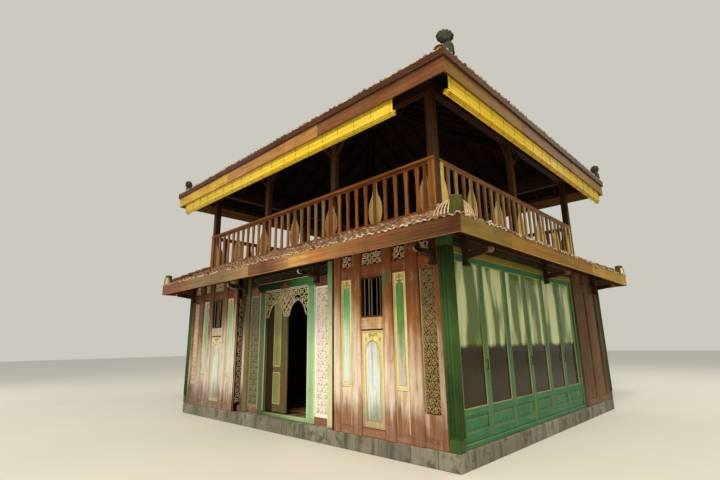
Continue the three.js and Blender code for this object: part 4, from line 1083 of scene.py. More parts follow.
def carved_walls(sizes):
    """Uprights and rails with painted panels, a barred window and carved scrolls between them."""
    for name, side in (("right", 1), ("left", -1)):
        job = Joinery(f"carved_front_wall_{name}", "upright", 11 + side, -WALL_Y)
        for (a, b), tone in zip(UPRIGHTS, (0.80, 0.62, 0.45, 0.12, 0.05)):
            job.board(mirrored(side, a, b), (0.0, 0.11), (FLOOR, WALL_TOP), "z", 0.008, None, tone)
        bays = [mirrored(side, a[1], b[0]) for a, b in zip(UPRIGHTS, UPRIGHTS[1:])]
        for xs in bays:
            job.board(xs, (0.014, 0.10), TOP_RAIL, "x", 0.005, None, 0.50)
            job.board(xs, (0.006, 0.02), (TOP_RAIL[0] + 0.012, TOP_RAIL[0] + 0.03), "x", 0.004, None, 0.1)
            job.board(xs, (0.012, 0.10), (FLOOR, FOOT_RAIL), "x", 0.006, None, 0.6)
            job.board(xs, (0.055, 0.085), (TOP_RAIL[1], WALL_TOP), "x", 0.003, "dark ground")
            vine_frieze(job, (xs[0] + 0.01, xs[1] - 0.01), (TOP_RAIL[1] + 0.008, WALL_TOP - 0.015), 0.054,
                        "frieze scroll", 0.026)
        near_door, window, near_corner, scrolls = bays
        long_panel(job, near_door, False)
        # The panel by the right corner takes the darker copy of the paint, painted shade.
        long_panel(job, near_corner, True, "olive panel" if side > 0 else "panel")
        job.board(window, (0.010, 0.10), SILL_RAIL, "x", 0.006, None, 1.0)
        clear = (window[0] + 0.022, window[1] - 0.022)
        barred_window(job, clear, (0.012, 0.10), sizes.window_bars, "dark timber")
        job.board(window, (0.018, 0.09), (WINDOW[1] + 0.005, TOP_RAIL[0]), "x", 0.003, None, 0.1)
        under = (window[0] + SHADOW_GAP, window[1] - THIN_GAP)
        arched_panel(job, under)
        job.board(under, (0.036, 0.075), (FOOT_RAIL, 0.60), "z", 0.004, None, 0.8)
        x0, x1 = scrolls
        skirting = FOOT_RAIL + 0.29
        job.board(scrolls, (0.055, 0.085), (FOOT_RAIL, TOP_RAIL[0]), "z", 0.003, "dark ground")
        vine_field(job, (x0 + 0.030, x1 - 0.014), (skirting + 0.01, TOP_RAIL[0] - 0.01), 0.054,
                   "scroll" if side > 0 else "frieze scroll", sizes.scroll_cell * 0.86, 3, 0.034, 0.34)
        for x in (x0 + 0.024, x1 - 0.007):
            job.board(
                (x - 0.007, x + 0.007), (0.020, 0.06), (skirting, TOP_RAIL[0]), "z", 0.003, "scroll", 0.6)
        job.board(scrolls, (0.018, 0.075), (FOOT_RAIL, skirting), "z", 0.004, None, 0.8)
        end, beside = UPRIGHTS[-1][1], (SILL_RAIL[1], 2.53)
        for a, b, zs in ((NICHE, end, (FLOOR, beside[0])), (NICHE, end, (beside[1], WALL_TOP)),
                         (NICHE, 2.17, beside), (2.58, end, beside)):
            job.board(mirrored(side, a, b), (0.085, 0.092), zs, "z", 0.002, "dark timber")
        niche_return(job, side)
        job.make(replaces=[f"front_wall_{name}_inner", f"front_wall_{name}_outer", f"front_window_{name}"])


def niche_return(job, side):
    """The carved cheek of the doorway's niche, drawn flat and then folded back into place."""
    first_point, first_face = len(job.points), len(job.faces)
    depth = 0.25
    carved = (0.030, depth - 0.095)
    job.face = 0.0
    job.board((0.0, depth), (0.0, 0.05), (FLOOR, WALL_TOP), "z", 0.004, None, 0.4)
    job.board(carved, (-0.004, 0.0), (FOOT_RAIL, TOP_RAIL[0]), "z", 0.001, "dark ground")
    vine_field(job, carved, (FOOT_RAIL + 0.05, TOP_RAIL[0] - 0.02), -0.003, "scroll", 0.10, 1, 0.012)
    job.move(first_point, lambda x, y, z: (side * (NICHE + y), x - WALL_Y, z))
    if side > 0:
        job.faces[first_face:] = [tuple(reversed(face)) for face in job.faces[first_face:]]


def doorway(sizes):
    """Frame, lace strips and green posts of the recessed doorway."""
    job = Joinery("doorway_frame", "door green", 21, DOOR_FACE)
    back = 0.09
    job.board((-0.87, 0.87), (0.0, back), (FLOOR, SILL), "x", 0.008, None, 0.3)
    full, lace = (FLOOR, WALL_TOP), (FOOT_RAIL, TOP_RAIL[0])
    for side in (-1, 1):
        for run, *board in (
            ((0.67, 0.87), (0.0, back), (SILL, LINTEL), "z", 0.006, None, 0.5),
            ((0.671, 0.688), (-0.006, 0.01), (0.30, 2.56), "z", 0.003, "bright line", 0.9),
            ((0.855, 0.867), (-0.005, 0.01), (0.30, LINTEL), "z", 0.003, "bright line", 0.9),
            ((1.24, 1.37), (-0.035, back), full, "z", 0.008, "niche post", 0.6),
            ((0.87, 1.24), (0.03, back - 0.01), full, "z", 0.003, "lace ground"),
            ((1.37, NICHE), (0.03, back - 0.01), full, "z", 0.003, "upright", 0.6),
        ):
            job.board(mirrored(side, *run), *board)
        vine_field(
            job, mirrored(side, 0.915, 1.205), (0.42, 2.50), 0.030, "lace", sizes.scroll_cell * 0.95, 3,
            0.022, 0.50)
        strip = mirrored(side, 0.872, 1.238)
        moulded_frame(job, strip, (0.008, 0.04), lace, 0.036, "lace", 0.5)
        job.board(strip, (0.005, back - 0.005), TOP_RAIL, "x", 0.005, "upright", 0.1)
        job.board(strip, (0.005, back - 0.005), (FLOOR, FOOT_RAIL), "x", 0.005, "upright", 0.7)
        job.board(
            mirrored(side, 0.87, 1.24), (0.026, 0.032), (TOP_RAIL[1], WALL_TOP), "x", 0.002, "dark ground")
        vine_frieze(job, mirrored(side, 0.90, 1.21), (2.75, 2.935), 0.026, "dim scroll", 0.018)
        for z, reach in ((2.70, 0.99), (2.66, 0.955), (2.62, 0.92)):
            job.board(mirrored(side, 0.86, reach), (-0.012, 0.02), (z - 0.02, z + 0.02), "x", 0.006,
                      "lintel green", 0.5)
    for half, *board in (
        (0.87, (-0.012, back), (LINTEL, 2.74), "x", 0.008, "lintel green", 0.6),
        (0.93, (-0.030, back), (2.738, 2.765), "x", 0.006, "lintel green", 0.8),
        (0.93, (-0.034, -0.029), (2.748, 2.757), "x", 0.002, "bright line", 0.8),
        (0.69, (-0.018, -0.011), (2.582, 2.597), "x", 0.003, "bright line", 0.9),
        (0.92, (0.02, back - 0.02), (2.765, WALL_TOP), "x", 0.003, "dark ground"),
    ):
        job.board((-half, half), *board)
    vine_frieze(job, (-0.90, 0.90), (2.77, 2.94), 0.02, "dim scroll", 0.03)
    lotus(job, 2.655, -0.012)
    job.make(replaces=("door_frame",))


def lotus(job, z, depth):
    """The carved flower at the middle of the lintel."""
    look = (depth, "carved red")
    for i, lean in enumerate((0.08, 0.08, 0.08, 0.0, -0.08, -0.08, -0.08)):
        angle = math.pi * (0.08 + 0.84 * i / 6)
        far = (0.10 * math.cos(angle), z - 0.055 + 0.115 * math.sin(angle))
        job.ribbon(bow((0.0, z - 0.055), far, lean), leaf(0.036), 0.020, *look)
    for side in (-1, 1):
        curl = spiral(side * 0.13, z - 0.035, 0.034, math.pi / 2, 1.2 * side, 13)
        job.ribbon(curl, strand(0.016), 0.016, *look)
        job.ribbon(bow((0.0, z - 0.065), (side * 0.11, z - 0.07), 0.1), leaf(0.024), 0.014, *look)


ARCH = ((0.0, 2.050), (0.070, 2.060), (0.090, 2.105), (0.112, 2.160), (0.138, 2.210), (0.171, 2.252),
        (0.210, 2.288), (0.250, 2.312), (0.300, 2.330), (0.335, 2.350))


def arch_height(x):
    """Height of the valance's lower edge at x; ARCH is the outline of half an arch."""
    half = ARCH[-1][0]
    run = max(0.0, half - abs(abs(x) - half))
    for (a, low), (b, high) in zip(ARCH, ARCH[1:]):
        if run <= b:
            return low + (high - low) * (run - a) / (b - a)


def valance():
    """Openwork board across the head of the doorway, its lower edge two pointed arches."""
    job = Joinery("doorway_valance", "valance", 31, DOOR_FACE)
    depth, relief = 0.030, 0.013
    xs = [-0.67 + 1.34 * i / 96 for i in range(97)]
    job.ribbon([(x, arch_height(x) + 0.012) for x in xs], 0.016, relief + 0.003, depth, None, 0.8, True)
    for a, b, width in (((-0.662, 2.07), (-0.662, 2.575), 0.014), ((0.662, 2.07), (0.662, 2.575), 0.014),
                        ((-0.665, 2.572), (0.665, 2.572), 0.016)):
        job.ribbon([a, b], width, relief, depth, "bright line", 0.8, True)

    def inside(x, z):
        return abs(x) < 0.656 and arch_height(x) + 0.014 < z < 2.568

    columns, wide, high = 10, 1.32 / 10, 0.128
    for row in range(4):
        z = 2.566 - (row + 0.5) * high
        for k in range(columns):
            x = -0.66 + (k + 0.5) * wide
            if z - high * 0.36 >= arch_height(x):
                mirror = 1 if (row + k) % 2 else -1
                vine_cell(job, x, z, wide, high, depth, None, mirror, relief, 0.30, True, inside)
    for x in (-0.30, -0.18, -0.06, 0.06, 0.18, 0.30):
        for lean in (-1, 1):
            lattice = [(x + lean * 0.02 * step, 2.56 - 0.026 * step) for step in range(1, 18)]
            lattice = [point for point in lattice if inside(*point) and abs(point[0]) < 0.30]
            if len(lattice) > 2:
                path = [lattice[0], lattice[len(lattice) // 2], lattice[-1]]
                job.ribbon(path, 0.009, relief, depth, None, 0.9, True)
    for x in xs[3:-3:4]:
        z = arch_height(x) + 0.020
        tip = (x + 0.014, z + 0.040)
        if inside(*tip):
            job.ribbon(bow((x - 0.010, z), tip, 0.3, 5), leaf(0.019), relief * 0.8, depth, None, None, True)
    job.make(replaces=("door_fretwork",))


def door_leaf(side, pivot_x, turned):
    """A leaf of the pivoted doors: long green panels with cream borders in a grey-brown frame."""
    job = Joinery(f"carved_leaf_{side}", "leaf frame", 41 if turned else 43)
    x0, x1, half = -0.020, 0.635, 0.020
    z0, z1 = zs = 0.30, 2.545
    foot, lock, head = (z0, z0 + 0.14), (1.02, 1.12), (z1 - 0.10, z1)
    a, b = between = x0 + 0.225, x1 - 0.190
    job.board((x0, a), (-half, half), zs, "z", 0.005, "dark ground", 0.85)
    job.board((b, x1), (-half, half), zs, "z", 0.005, None, 0.9)
    for x in (x0 + 0.055, b + 0.055, x1 - 0.05):
        for low, high in ((-half, 0.012 - half), (half - 0.012, half)):
            job.board((x - 0.004, x + 0.004), (low - 0.0005, high), (z0 + 0.02, z1 - 0.02), "z", 0.002,
                      "dark timber", 0.0)
    for rail in (foot, lock, head):
        job.board(between, (-half + 0.001, half - 0.001), rail, "x", 0.004, None, 0.7)
    for low, high in ((foot[1], lock[0]), (lock[1], head[0])):
        job.board(between, (-0.008, 0.008), (low, high), "z", 0.002, "leaf green", 0.6)
        for out in (-1, 1):
            moulded_frame(job, between, mirrored(out, 0.008, 0.018), (low, high), 0.022, "leaf line", 0.7)
            moulded_frame(job, (a + 0.055, b - 0.055), mirrored(out, 0.008, 0.014), (low + 0.06, high - 0.06),
                          0.010, "leaf line", 0.3)
    for z in (0.281, 2.546):
        job.tube([(0.0, 0.0, z), (0.0, 0.0, z + 0.032)], 0.012, 12, "dark timber", 0.5)
    job.move(0, lambda x, y, z: (pivot_x + (-y if turned else x), PIVOT_Y + (x if turned else y), z))
    job.make(replaces=(f"door_leaf_{side}",), body=f"{side}_leaf")


def door_leaves():
    """The left leaf is closed and the right one stands open, turned inwards by a right angle."""
    door_leaf("left", -PIVOT_X, False)
    door_leaf("right", PIVOT_X, True)


def glazed_doors():
    """Frame, six folding leaves and their panes, on the side that faces the sun."""
    start, end, face = -WALL_Y + POST, DOORS_END, -WALL_X + 0.04
    first, last, head = start + 0.06, end - 0.08, 2.73
    job = Joinery("folding_door_frame", "teal", 51, face)
    for board in (
        ((start, end), (0.0, 0.10), (FLOOR, SILL), "x", 0.006, None, 0.3),
        ((start, end), (0.0, 0.10), (head, 2.84), "x", 0.006, "olive", 0.95),
        ((start, end), (-0.012, 0.10), (2.84, WALL_TOP), "x", 0.008, "olive", 0.2),
        ((start, end), (-0.020, 0.01), (2.825, 2.85), "x", 0.006, "olive", 0.1),
        ((start, first), (0.0, 0.10), (SILL, head), "z", 0.006, None, 0.5),
        ((last, end), (0.0, 0.10), (SILL, head), "z", 0.006, None, 0.6),
    ):
        job.board(*board)
    job.make("right", ("side_door_frame",))
    count, gap, stile, thick = 6, 0.005, 0.054, 0.045
    width, near = (last - first) / count, face + 0.025
    leaves = Joinery("folding_door_leaves", "teal", 52, near)
    panes = Joinery("folding_door_panes", "glass", 53, near)
    low, high = zs = SILL + 0.0015, head - 0.0015
    foot, waist, top = (low, low + 0.11), (0.60, 0.68), (high - 0.085, high)
    for i in range(count):
        a, b = first + i * width + gap, first + (i + 1) * width - gap
        x0, x1 = between = a + stile, b - stile
        tone = 0.35 + 0.3 * (i % 2)
        for xs in ((a, x0), (x1, b)):
            leaves.board(xs, (0.0, thick), zs, "z", 0.005, None, tone)
        for rail in (foot, waist, top):
            leaves.board(between, (0.001, thick - 0.001), rail, "x", 0.004, None, tone)
        leaves.board(between, (0.016, thick - 0.016), (foot[1], waist[0]), "z", 0.002, None, tone)
        moulded_frame(leaves, between, (0.006, 0.018), (foot[1], waist[0]), 0.018, None, tone)
        leaves.board(
            (x0 + 0.045, x1 - 0.045), (0.008, 0.02), (foot[1] + 0.045, waist[0] - 0.045), "z", 0.006, None,
            tone)
        moulded_frame(leaves, between, (0.004, 0.021), (waist[1], top[0]), 0.012, "glazing bead", tone)
        panes.board((x0 - 0.006, x1 + 0.006), (0.022, 0.026), (waist[1] - 0.006, top[0] + 0.006), "z", 0.0005)
        if i % 2 == 0:
            x, y = b - 0.03, near - 0.03
            leaves.tube([(x, y, 1.15), (x, y, 1.29)], 0.006, 8, "dark ground", 0.5)
            for z in (1.16, 1.28):
                leaves.tube([(x, y, z), (x, near + 0.002, z)], 0.005, 8, "dark ground", 0.5)
    leaves.make("right", [f"side_door_leaf_{i + 1}" for i in range(count)])
    panes.make("right", ("side_door_glass",))


def even_bays(start, end, count, windows=()):
    """Uprights 0.18 wide and the bays between them; windows lists the bays that have one."""
    wide = 0.18
    pitch = (end - start - wide) / count
    uprights = [(start + i * pitch, start + i * pitch + wide) for i in range(count + 1)]
    bays = [(a[1], b[0], i in windows) for i, (a, b) in enumerate(zip(uprights, uprights[1:]))]
    return uprights, bays


def upright_boards(job, a, b, ys, zs):
    """Upright boards side by side between a and b."""
    count = max(1, round((b - a) / 0.135))
    step = (b - a) / count
    for k in range(count):
        job.board((a + k * step + 0.001, a + (k + 1) * step - 0.001), ys, zs, "z", 0.006)


def boarded_wall(side, uprights, bays, sizes, replaces):
    """A wall of uprights and rails with upright boards between them and barred windows."""
    face, _ = face_and_half(side, WALL_X, WALL_Y)
    job = Joinery(f"boarded_wall_{side}", "plain wall", 61 + TURN[side], -face)
    for run in uprights:
        job.board(run, (0.0, 0.10), (FLOOR, WALL_TOP), "z", 0.008)
    for a, b, window in bays:
        job.board((a, b), (0.010, 0.092), (FLOOR, FOOT_RAIL), "x", 0.006)
        job.board((a, b), (0.010, 0.092), TOP_RAIL, "x", 0.006)
        upright_boards(job, a, b, (0.036, 0.080), (FOOT_RAIL, SILL_RAIL[0] if window else TOP_RAIL[0]))
        upright_boards(job, a, b, (0.036, 0.080), (TOP_RAIL[1], WALL_TOP))
        if window:
            low, high = (a + b) / 2 - 0.205, (a + b) / 2 + 0.205
            job.board((a, b), (0.008, 0.092), (SILL_RAIL[0] - 0.02, SILL_RAIL[1]), "x", 0.006)
            for run in ((a, low), (high, b)):
                upright_boards(job, *run, (0.012, 0.088), (SILL_RAIL[1], TOP_RAIL[0]))
            job.board((low, high), (0.014, 0.088), (WINDOW[1] + 0.002, TOP_RAIL[0]), "x", 0.003)
            barred_window(job, (low + 0.002, high - 0.002), (0.012, 0.085), sizes.window_bars, None)
    job.make(side, replaces)


def boarded_walls(sizes):
    """The left and back walls, and the part of the right wall behind the glazed doors."""
    side_half, back_half, middle = WALL_Y - POST, WALL_X - POST, 2.13
    boarded_wall("left", *even_bays(-side_half, side_half, 6, (1, 4)), sizes, ("side_wall_left",))
    uprights, bays = even_bays(-middle, middle, 5)
    bays = [(-back_half, -middle, True), *bays, (middle, back_half, True)]
    boarded_wall("back", uprights, bays, sizes, ("back_wall", "back_window_left", "back_window_right"))
    boarded_wall("right", *even_bays(DOORS_END, side_half, 2), sizes, ("side_wall_right",))


def bracket(job, along, face, tip):
    """A bracket that carries the eave board: hanger, tapering arm and a pale curled tip."""
    start = len(job.points)
    profile = [(0.0, 2.58), (0.070, 2.58), (0.070, 2.655), (0.16, 2.665), (0.30, 2.682), (0.395, 2.70),
               (0.395, 2.755), (0.30, 2.752), (0.16, 2.748), (0.07, 2.75), (0.07, 3.07), (0.0, 3.10)]
    job.cutout(profile, -0.035, 0.035, "x", 0.006, None, 0.25)
    job.cutout([(0.0, 2.56), (0.085, 2.56), (0.075, 2.60), (0.0, 2.60)], -0.045, 0.045, "x", 0.006, None, 0.2)
    for depth in (-0.036, 0.0):
        curl = spiral(0.425, 2.735, 0.036, -2.2, 1.1, 14, 0.2)
        job.ribbon([(0.30, 2.705), (0.35, 2.700), (0.39, 2.703)] + curl, lambda t: 0.034 * (1 - 0.6 * t), 0.0,
                   depth, tip, 0.8, True)
    curl = spiral(0.425, 2.735, 0.034, -2.2, 1.1, 14, 0.2)
    job.tube([(x, 0.0, z) for x, z in [(0.37, 2.715)] + curl], lambda t: 0.022 * (1 - 0.55 * t), 8, tip, 0.8)
    job.cutout([(0.31, 2.690), (0.405, 2.693), (0.44, 2.72), (0.43, 2.755), (0.39, 2.762), (0.31, 2.755)],
               -0.030, 0.030, "x", 0.012, tip, 0.6)
    job.move(start, lambda out, across, z: (along - across, -face - out, z))


def beams_and_brackets():
    """Beams over the four walls, with the brackets that carry the eave of the skirt roof."""
    for side in TURN:
        on_front = side in ("front", "back")
        face, length = face_and_half(side, WALL_X, WALL_Y)
        length -= 0.0 if on_front else BEAM_DEPTH
        job = Joinery(f"beam_and_brackets_{side}", "dark timber", 71 + TURN[side])
        joints = [-length, -length * 0.3, length * 0.42, length]
        for run in zip(joints, joints[1:]):
            job.board(run, (-face, -face + BEAM_DEPTH), (WALL_TOP, BEAM_TOP), "x", 0.010)
        for stop in ((-3.56, -1.15, 1.15, 3.56) if on_front else (-2.9, 0.0, 2.9)):
            bracket(job, stop, face, "pale tip" if on_front and stop < 3 else "brown tip")
        job.make(side, (f"ground_beam_{side}",))


def gallery_floor(sizes):
    """Boards in random lengths on joists from front to back."""
    job = Joinery("gallery_deck", "dark timber", 81)
    half_x, half_y = GALLERY_X + 0.17, GALLERY_Y + 0.17
    y = -half_y
    while y < half_y - 0.01:
        end = min(y + sizes.deck_board, half_y)
        x = -half_x
        while x < half_x - 0.01:
            stop = min(x + job.chance.uniform(2.2, 3.6), half_x)
            if half_x - stop < 0.6:
                stop = half_x
            job.board((x + 0.001, stop - 0.001), (y + 0.0015, end - 0.0015), (BEAM_TOP, DECK), "x", 0.003)
            x = stop
        y = end
    run = WALL_Y - BEAM_DEPTH
    for x in [0.8 * i for i in range(-4, 5)]:
        job.board((x - 0.04, x + 0.04), (-run, run), (WALL_TOP + 0.02, BEAM_TOP), "y", 0.006, "soffit")
    job.make(replaces=("upper_floor",))


# Roofs

def lay_tiles(job, length_at, foot, to_point, sizes):
    """Lays courses of rolled tiles from the eave up.

    Distances run down the slope from its head to foot. length_at(s) is half the length of the slope
    at s, and to_point(a, s, n) gives the place of a point n above the slope."""
    width, course = sizes.tile_width, sizes.tile_course
    across = 6
    n = across + 1
    faces, edges = [], []
    for k in range(across):
        faces.append((k, 2 * n + k, 2 * n + k + 1, k + 1))
        faces.append((2 * n + k, 3 * n + k, 3 * n + k + 1, 2 * n + k + 1))
        faces.append((n + k + 1, 3 * n + k + 1, 3 * n + k, n + k))
        edges += [0.0, 1.0, 0.0]
    faces += [(0, n, 3 * n, 2 * n), (n - 1, 3 * n - 1, 4 * n - 1, 2 * n - 1)]
    edges += [0.3, 0.3]
    for row in range(math.ceil(foot / course)):
        nose = foot - row * course
        top = max(0.0, nose - course * 1.2)
        half = max(length_at(nose), length_at(top))
        count = math.ceil(2 * half / width)
        for i in range(count):
            a0 = i * width - count * width / 2
            if min(abs(a0), abs(a0 + width)) > half - 0.004:
                continue
            rise = job.chance.uniform(-0.006, 0.006)
            slip = job.chance.uniform(-0.024, 0.010)
            skew = job.chance.uniform(-0.008, 0.008)
            points = []
            for s, drop, shift in ((top, -0.030, 0.0), (min(foot - 0.006, nose + slip), -0.012, skew)):
                limit = length_at(s)
                for layer in (0.0, -0.022):
                    for k in range(n):
                        a = a0 + k / across * (width + 0.008) - 0.004 + shift
                        wave = 0.012 * math.cos(2 * math.pi * (k / across - 0.25))
                        points.append(to_point(max(-limit, min(limit, a)), s, drop + wave + layer + rise))
            job.add(points, faces, "y", None, None, edges)


def sarking(job, near, far, count, place):
    """Dark boards along the slope over the rafters. place(run) gives half a length, a depth and a height."""
    step = (far - near) / count
    for i in range(count):
        points = []
        for lift in (0.0, 0.016):
            for run in (near + i * step + 0.001, near + (i + 1) * step - 0.001):
                half, depth, top = place(run)
                points += [(side * half, depth, top - lift) for side in (-1, 1)]
        faces = [(0, 1, 3, 2), (4, 6, 7, 5), (0, 4, 5, 1), (2, 3, 7, 6), (0, 2, 6, 4), (1, 5, 7, 3)]
        if points[2][1] < points[0][1]:
            faces = [tuple(reversed(face)) for face in faces]
        job.add(points, faces, "x")


def skirt_top(out):
    """Height of the skirt roof at a distance out from its head."""
    return SKIRT_HEAD - SKIRT_SLOPE * out


def skirt_roofs(sizes):
    """Tiled slopes over battens and rafters, all round above the ground floor."""
    angle = math.atan(SKIRT_SLOPE)
    for side in TURN:
        base, other = face_and_half(side, GALLERY_X, GALLERY_Y)
        tiles = Joinery(f"skirt_tiles_{side}", "skirt tile", 91 + TURN[side])

        def to_point(a, s, n):
            out = s * math.cos(angle) + n * math.sin(angle)
            return (a, -(base + out), SKIRT_HEAD - s * math.sin(angle) + n * math.cos(angle))

        def length_at(s):
            return other + s * math.cos(angle) - 0.004

        lay_tiles(tiles, length_at, SKIRT_LIP / math.cos(angle), to_point, sizes)
        tiles.make(side, (f"skirt_roof_{side}",))
        under = Joinery(f"skirt_rafters_{side}", "soffit", 95 + TURN[side])
        half, foot = other + SKIRT_LIP - 0.26, 0.80
        count = round(2 * half / sizes.rafter_pitch)
        for i in range(count + 1):
            a = -half + 2 * half * i / count
            head = max(0.0, abs(a) - other + 0.03)
            ends = [(a, -(base + out), skirt_top(out) - 0.098) for out in (head, foot)]
            under.beam(*ends, 0.055, 0.08)
        sarking(under, 0.01, 0.79, 5, lambda out: (other + out - 0.02, -(base + out), skirt_top(out) - 0.070))
        hip = [(other + out, -(base + out), skirt_top(out) - 0.11) for out in (0.02, 0.79)]
        under.beam(*hip, 0.07, 0.11)
        under.make(side)


def roof_top(run):
    """Height of the main roof at a run in from its eave."""
    return ROOF_EDGE + math.tan(ROOF_PITCH) * run


def upper_roofs(sizes):
    """The hipped roof over the gallery: tiles, battens and rafters."""
    rise, level = math.sin(ROOF_PITCH), math.cos(ROOF_PITCH)
    foot = ROOF_LIP_Y / level
    for side in TURN:
        base, reach = face_and_half(side, ROOF_LIP_X, ROOF_LIP_Y)
        tiles = Joinery(f"roof_tiles_{side}", "roof tile", 101 + TURN[side])

        def to_point(a, s, n):
            up = foot - s
            return (a, -(base - (up * level - n * rise)), ROOF_EDGE + up * rise + n * level)

        lay_tiles(tiles, lambda s: max(0.0, reach - (foot - s) * level), foot, to_point, sizes)
        tiles.make(side, (f"roof_{side}",))
        under = Joinery(f"roof_rafters_{side}", "soffit", 105 + TURN[side])
        half, near = reach - 0.12, 0.065
        count = round(2 * half / sizes.rafter_pitch)
        for i in range(count + 1):
            a = -half + 2 * half * i / count
            far = min(ROOF_LIP_Y - 0.02, reach - abs(a))
            if far > 0.2:
                ends = [(a, run - base, roof_top(run) - 0.135) for run in (near, far)]
                under.beam(*ends, 0.06, 0.10)
        sarking(under, 0.09, ROOF_LIP_Y - 0.05, 16,
                lambda run: (max(0.02, reach - run - 0.02), run - base, roof_top(run) - 0.075))
        under.make(side)
    hips = Joinery("hip_rafters", "soffit", 109)
    ridge, peak = ROOF_LIP_X - ROOF_LIP_Y, roof_top(ROOF_LIP_Y)
    for sx in (-1, 1):
        for sy in (-1, 1):
            hips.beam((sx * (ROOF_LIP_X - 0.08), sy * (ROOF_LIP_Y - 0.08), roof_top(0.08) - 0.15),
                      (sx * ridge, 0.0, peak - 0.16), 0.08, 0.14)
    hips.board((-ridge - 0.1, ridge + 0.1), (-0.04, 0.04), (peak - 0.26, peak - 0.06), "x", 0.006)
    hips.make()


def eave_board(job, sides, x, y, zs, thick, proud=0.0):
    """A ring of boards, butted in lengths. sides lists the share, the tone and the finish of each board.

    A pair of tones is a board that fades from its left end to its right end."""
    for side, parts in sides.items():
        face, half = face_and_half(side, x + proud, y + proud)
        reach = half if side in ("front", "back") else half - thick
        total = sum(part[0] for part in parts)
        start, run = len(job.points), -reach
        for share, tone, *paint in parts:
            end = run + 2 * reach * share / total
            near, far = tone if isinstance(tone, tuple) else (tone, tone)
            job.board((run, end - 0.0015), (-face, -face + thick), zs, "x", 0.005, *(paint or [None]), near)
            job.tones[-len(BOX_POINTS):] = [far if sign[0] > 0 else near for sign, _ in BOX_POINTS]
            run = end
        job.turn(start, side)


def eave_boards():
    """Boards along the skirt's eave with a paler lower edge, a painted highlight, and along the main roof's
    with a trim.
    """
    gold = "golden fascia"
    skirt = Joinery("skirt_eave_boards", "fascia", 111)
    sides = {
        "front": [(1.6, (0.14, 0.24)), (2.4, (0.60, 0.54)), (0.60, (0.14, 0.06)), (0.65, (0.14, 0.32)),
                  (3.35, (0.42, 0.0))],
        "right": [(0.18, 0.80), (0.48, 1.0, gold), (0.34, 0.90)],
        "back": [(0.33, 0.2), (0.34, 0.55), (0.33, 0.3)],
        "left": [(0.5, 0.5), (0.5, 0.2)],
    }
    x, y, low = _skirt_high.x, _skirt_high.y, _skirt_low.z
    eave_board(skirt, sides, x, y, (low, _skirt_high.z), 0.03)
    # The paler strip along the lower edge is a painted highlight where light catches the board.
    edge = {side: [(share, min(1.0, (tone[0] if isinstance(tone, tuple) else tone) * 0.5 + 0.42))
                   for share, tone, *_ in parts] for side, parts in sides.items()}
    eave_board(skirt, edge, x, y, (low, low + 0.010), 0.03, 0.004)
    skirt.make(replaces=("skirt_fascia",))
    upper = Joinery("roof_eave_boards", "fascia", 112)
    sides = {
        "front": [(0.30, 0.97), (0.38, 0.30), (0.32, 0.14)],
        "right": [(0.34, 0.65, gold), (0.36, 0.35, gold), (0.30, 0.80, gold)],
        "back": [(0.5, 0.25), (0.5, 0.45)],
        "left": [(0.5, 0.55), (0.5, 0.3)],
    }
    x, y = _eave_high.x - TRIM_PROUD, _eave_high.y - TRIM_PROUD
    eave_board(upper, sides, x, y, (_eave_low.z, TRIM_Z), 0.03)
    trim = {side: [(1.0, 0.75, "eave trim"), (1.1, 0.45, "eave trim")] for side in sides}
    eave_board(upper, trim, x, y, (TRIM_Z, _eave_high.z), 0.03 + TRIM_PROUD, TRIM_PROUD)
    upper.make(replaces=("eave_fascia",))


def cap_tile(job, low, high, radius, height):
    """A saddle tile from a low to a high point, its low end wider and lapped over the next."""
    forward = (high - low).normalized()
    across = Vector((-forward.y, forward.x, 0.0)).normalized()
    up = forward.cross(across)
    sides = 8
    n = sides + 1
    points, faces, edges = [], [], []
    for spot, grow, lift in ((low, 1.0, 0.018), (high, 0.86, 0.0)):
        for layer in (0.0, 0.014):
            for k in range(n):
                angle = math.pi * k / sides
                a = (radius * grow - layer) * math.cos(angle)
                out = (height * grow - layer) * math.sin(angle) ** 0.85 + lift - 0.02
                points.append(tuple(spot + across * a + up * out))
    for k in range(sides):
        faces.append((2 * n + k, 2 * n + k + 1, k + 1, k))
        faces.append((k + 1, n + k + 1, n + k, k))
        faces.append((n + k + 1, 3 * n + k + 1, 3 * n + k, n + k))
        edges += [0.0, 1.0, 0.0]
    faces += [(n, 3 * n, 2 * n, 0), (3 * n - 1, 4 * n - 1, 2 * n - 1, n - 1)]
    job.add(points, faces, "x", "cap tile", None, edges + [0.5, 0.5])


def cap_run(job, low, high, radius, height, step):
    """Lapped cap tiles all the way up a hip or along a ridge."""
    low, high = Vector(low), Vector(high)
    count = max(1, round((high - low).length / step))
    for i in range(count):
        a, b = low.lerp(high, i / count), low.lerp(high, min(1.0, (i + 1.18) / count))
        cap_tile(job, a, b, radius * job.chance.uniform(0.96, 1.03), height)


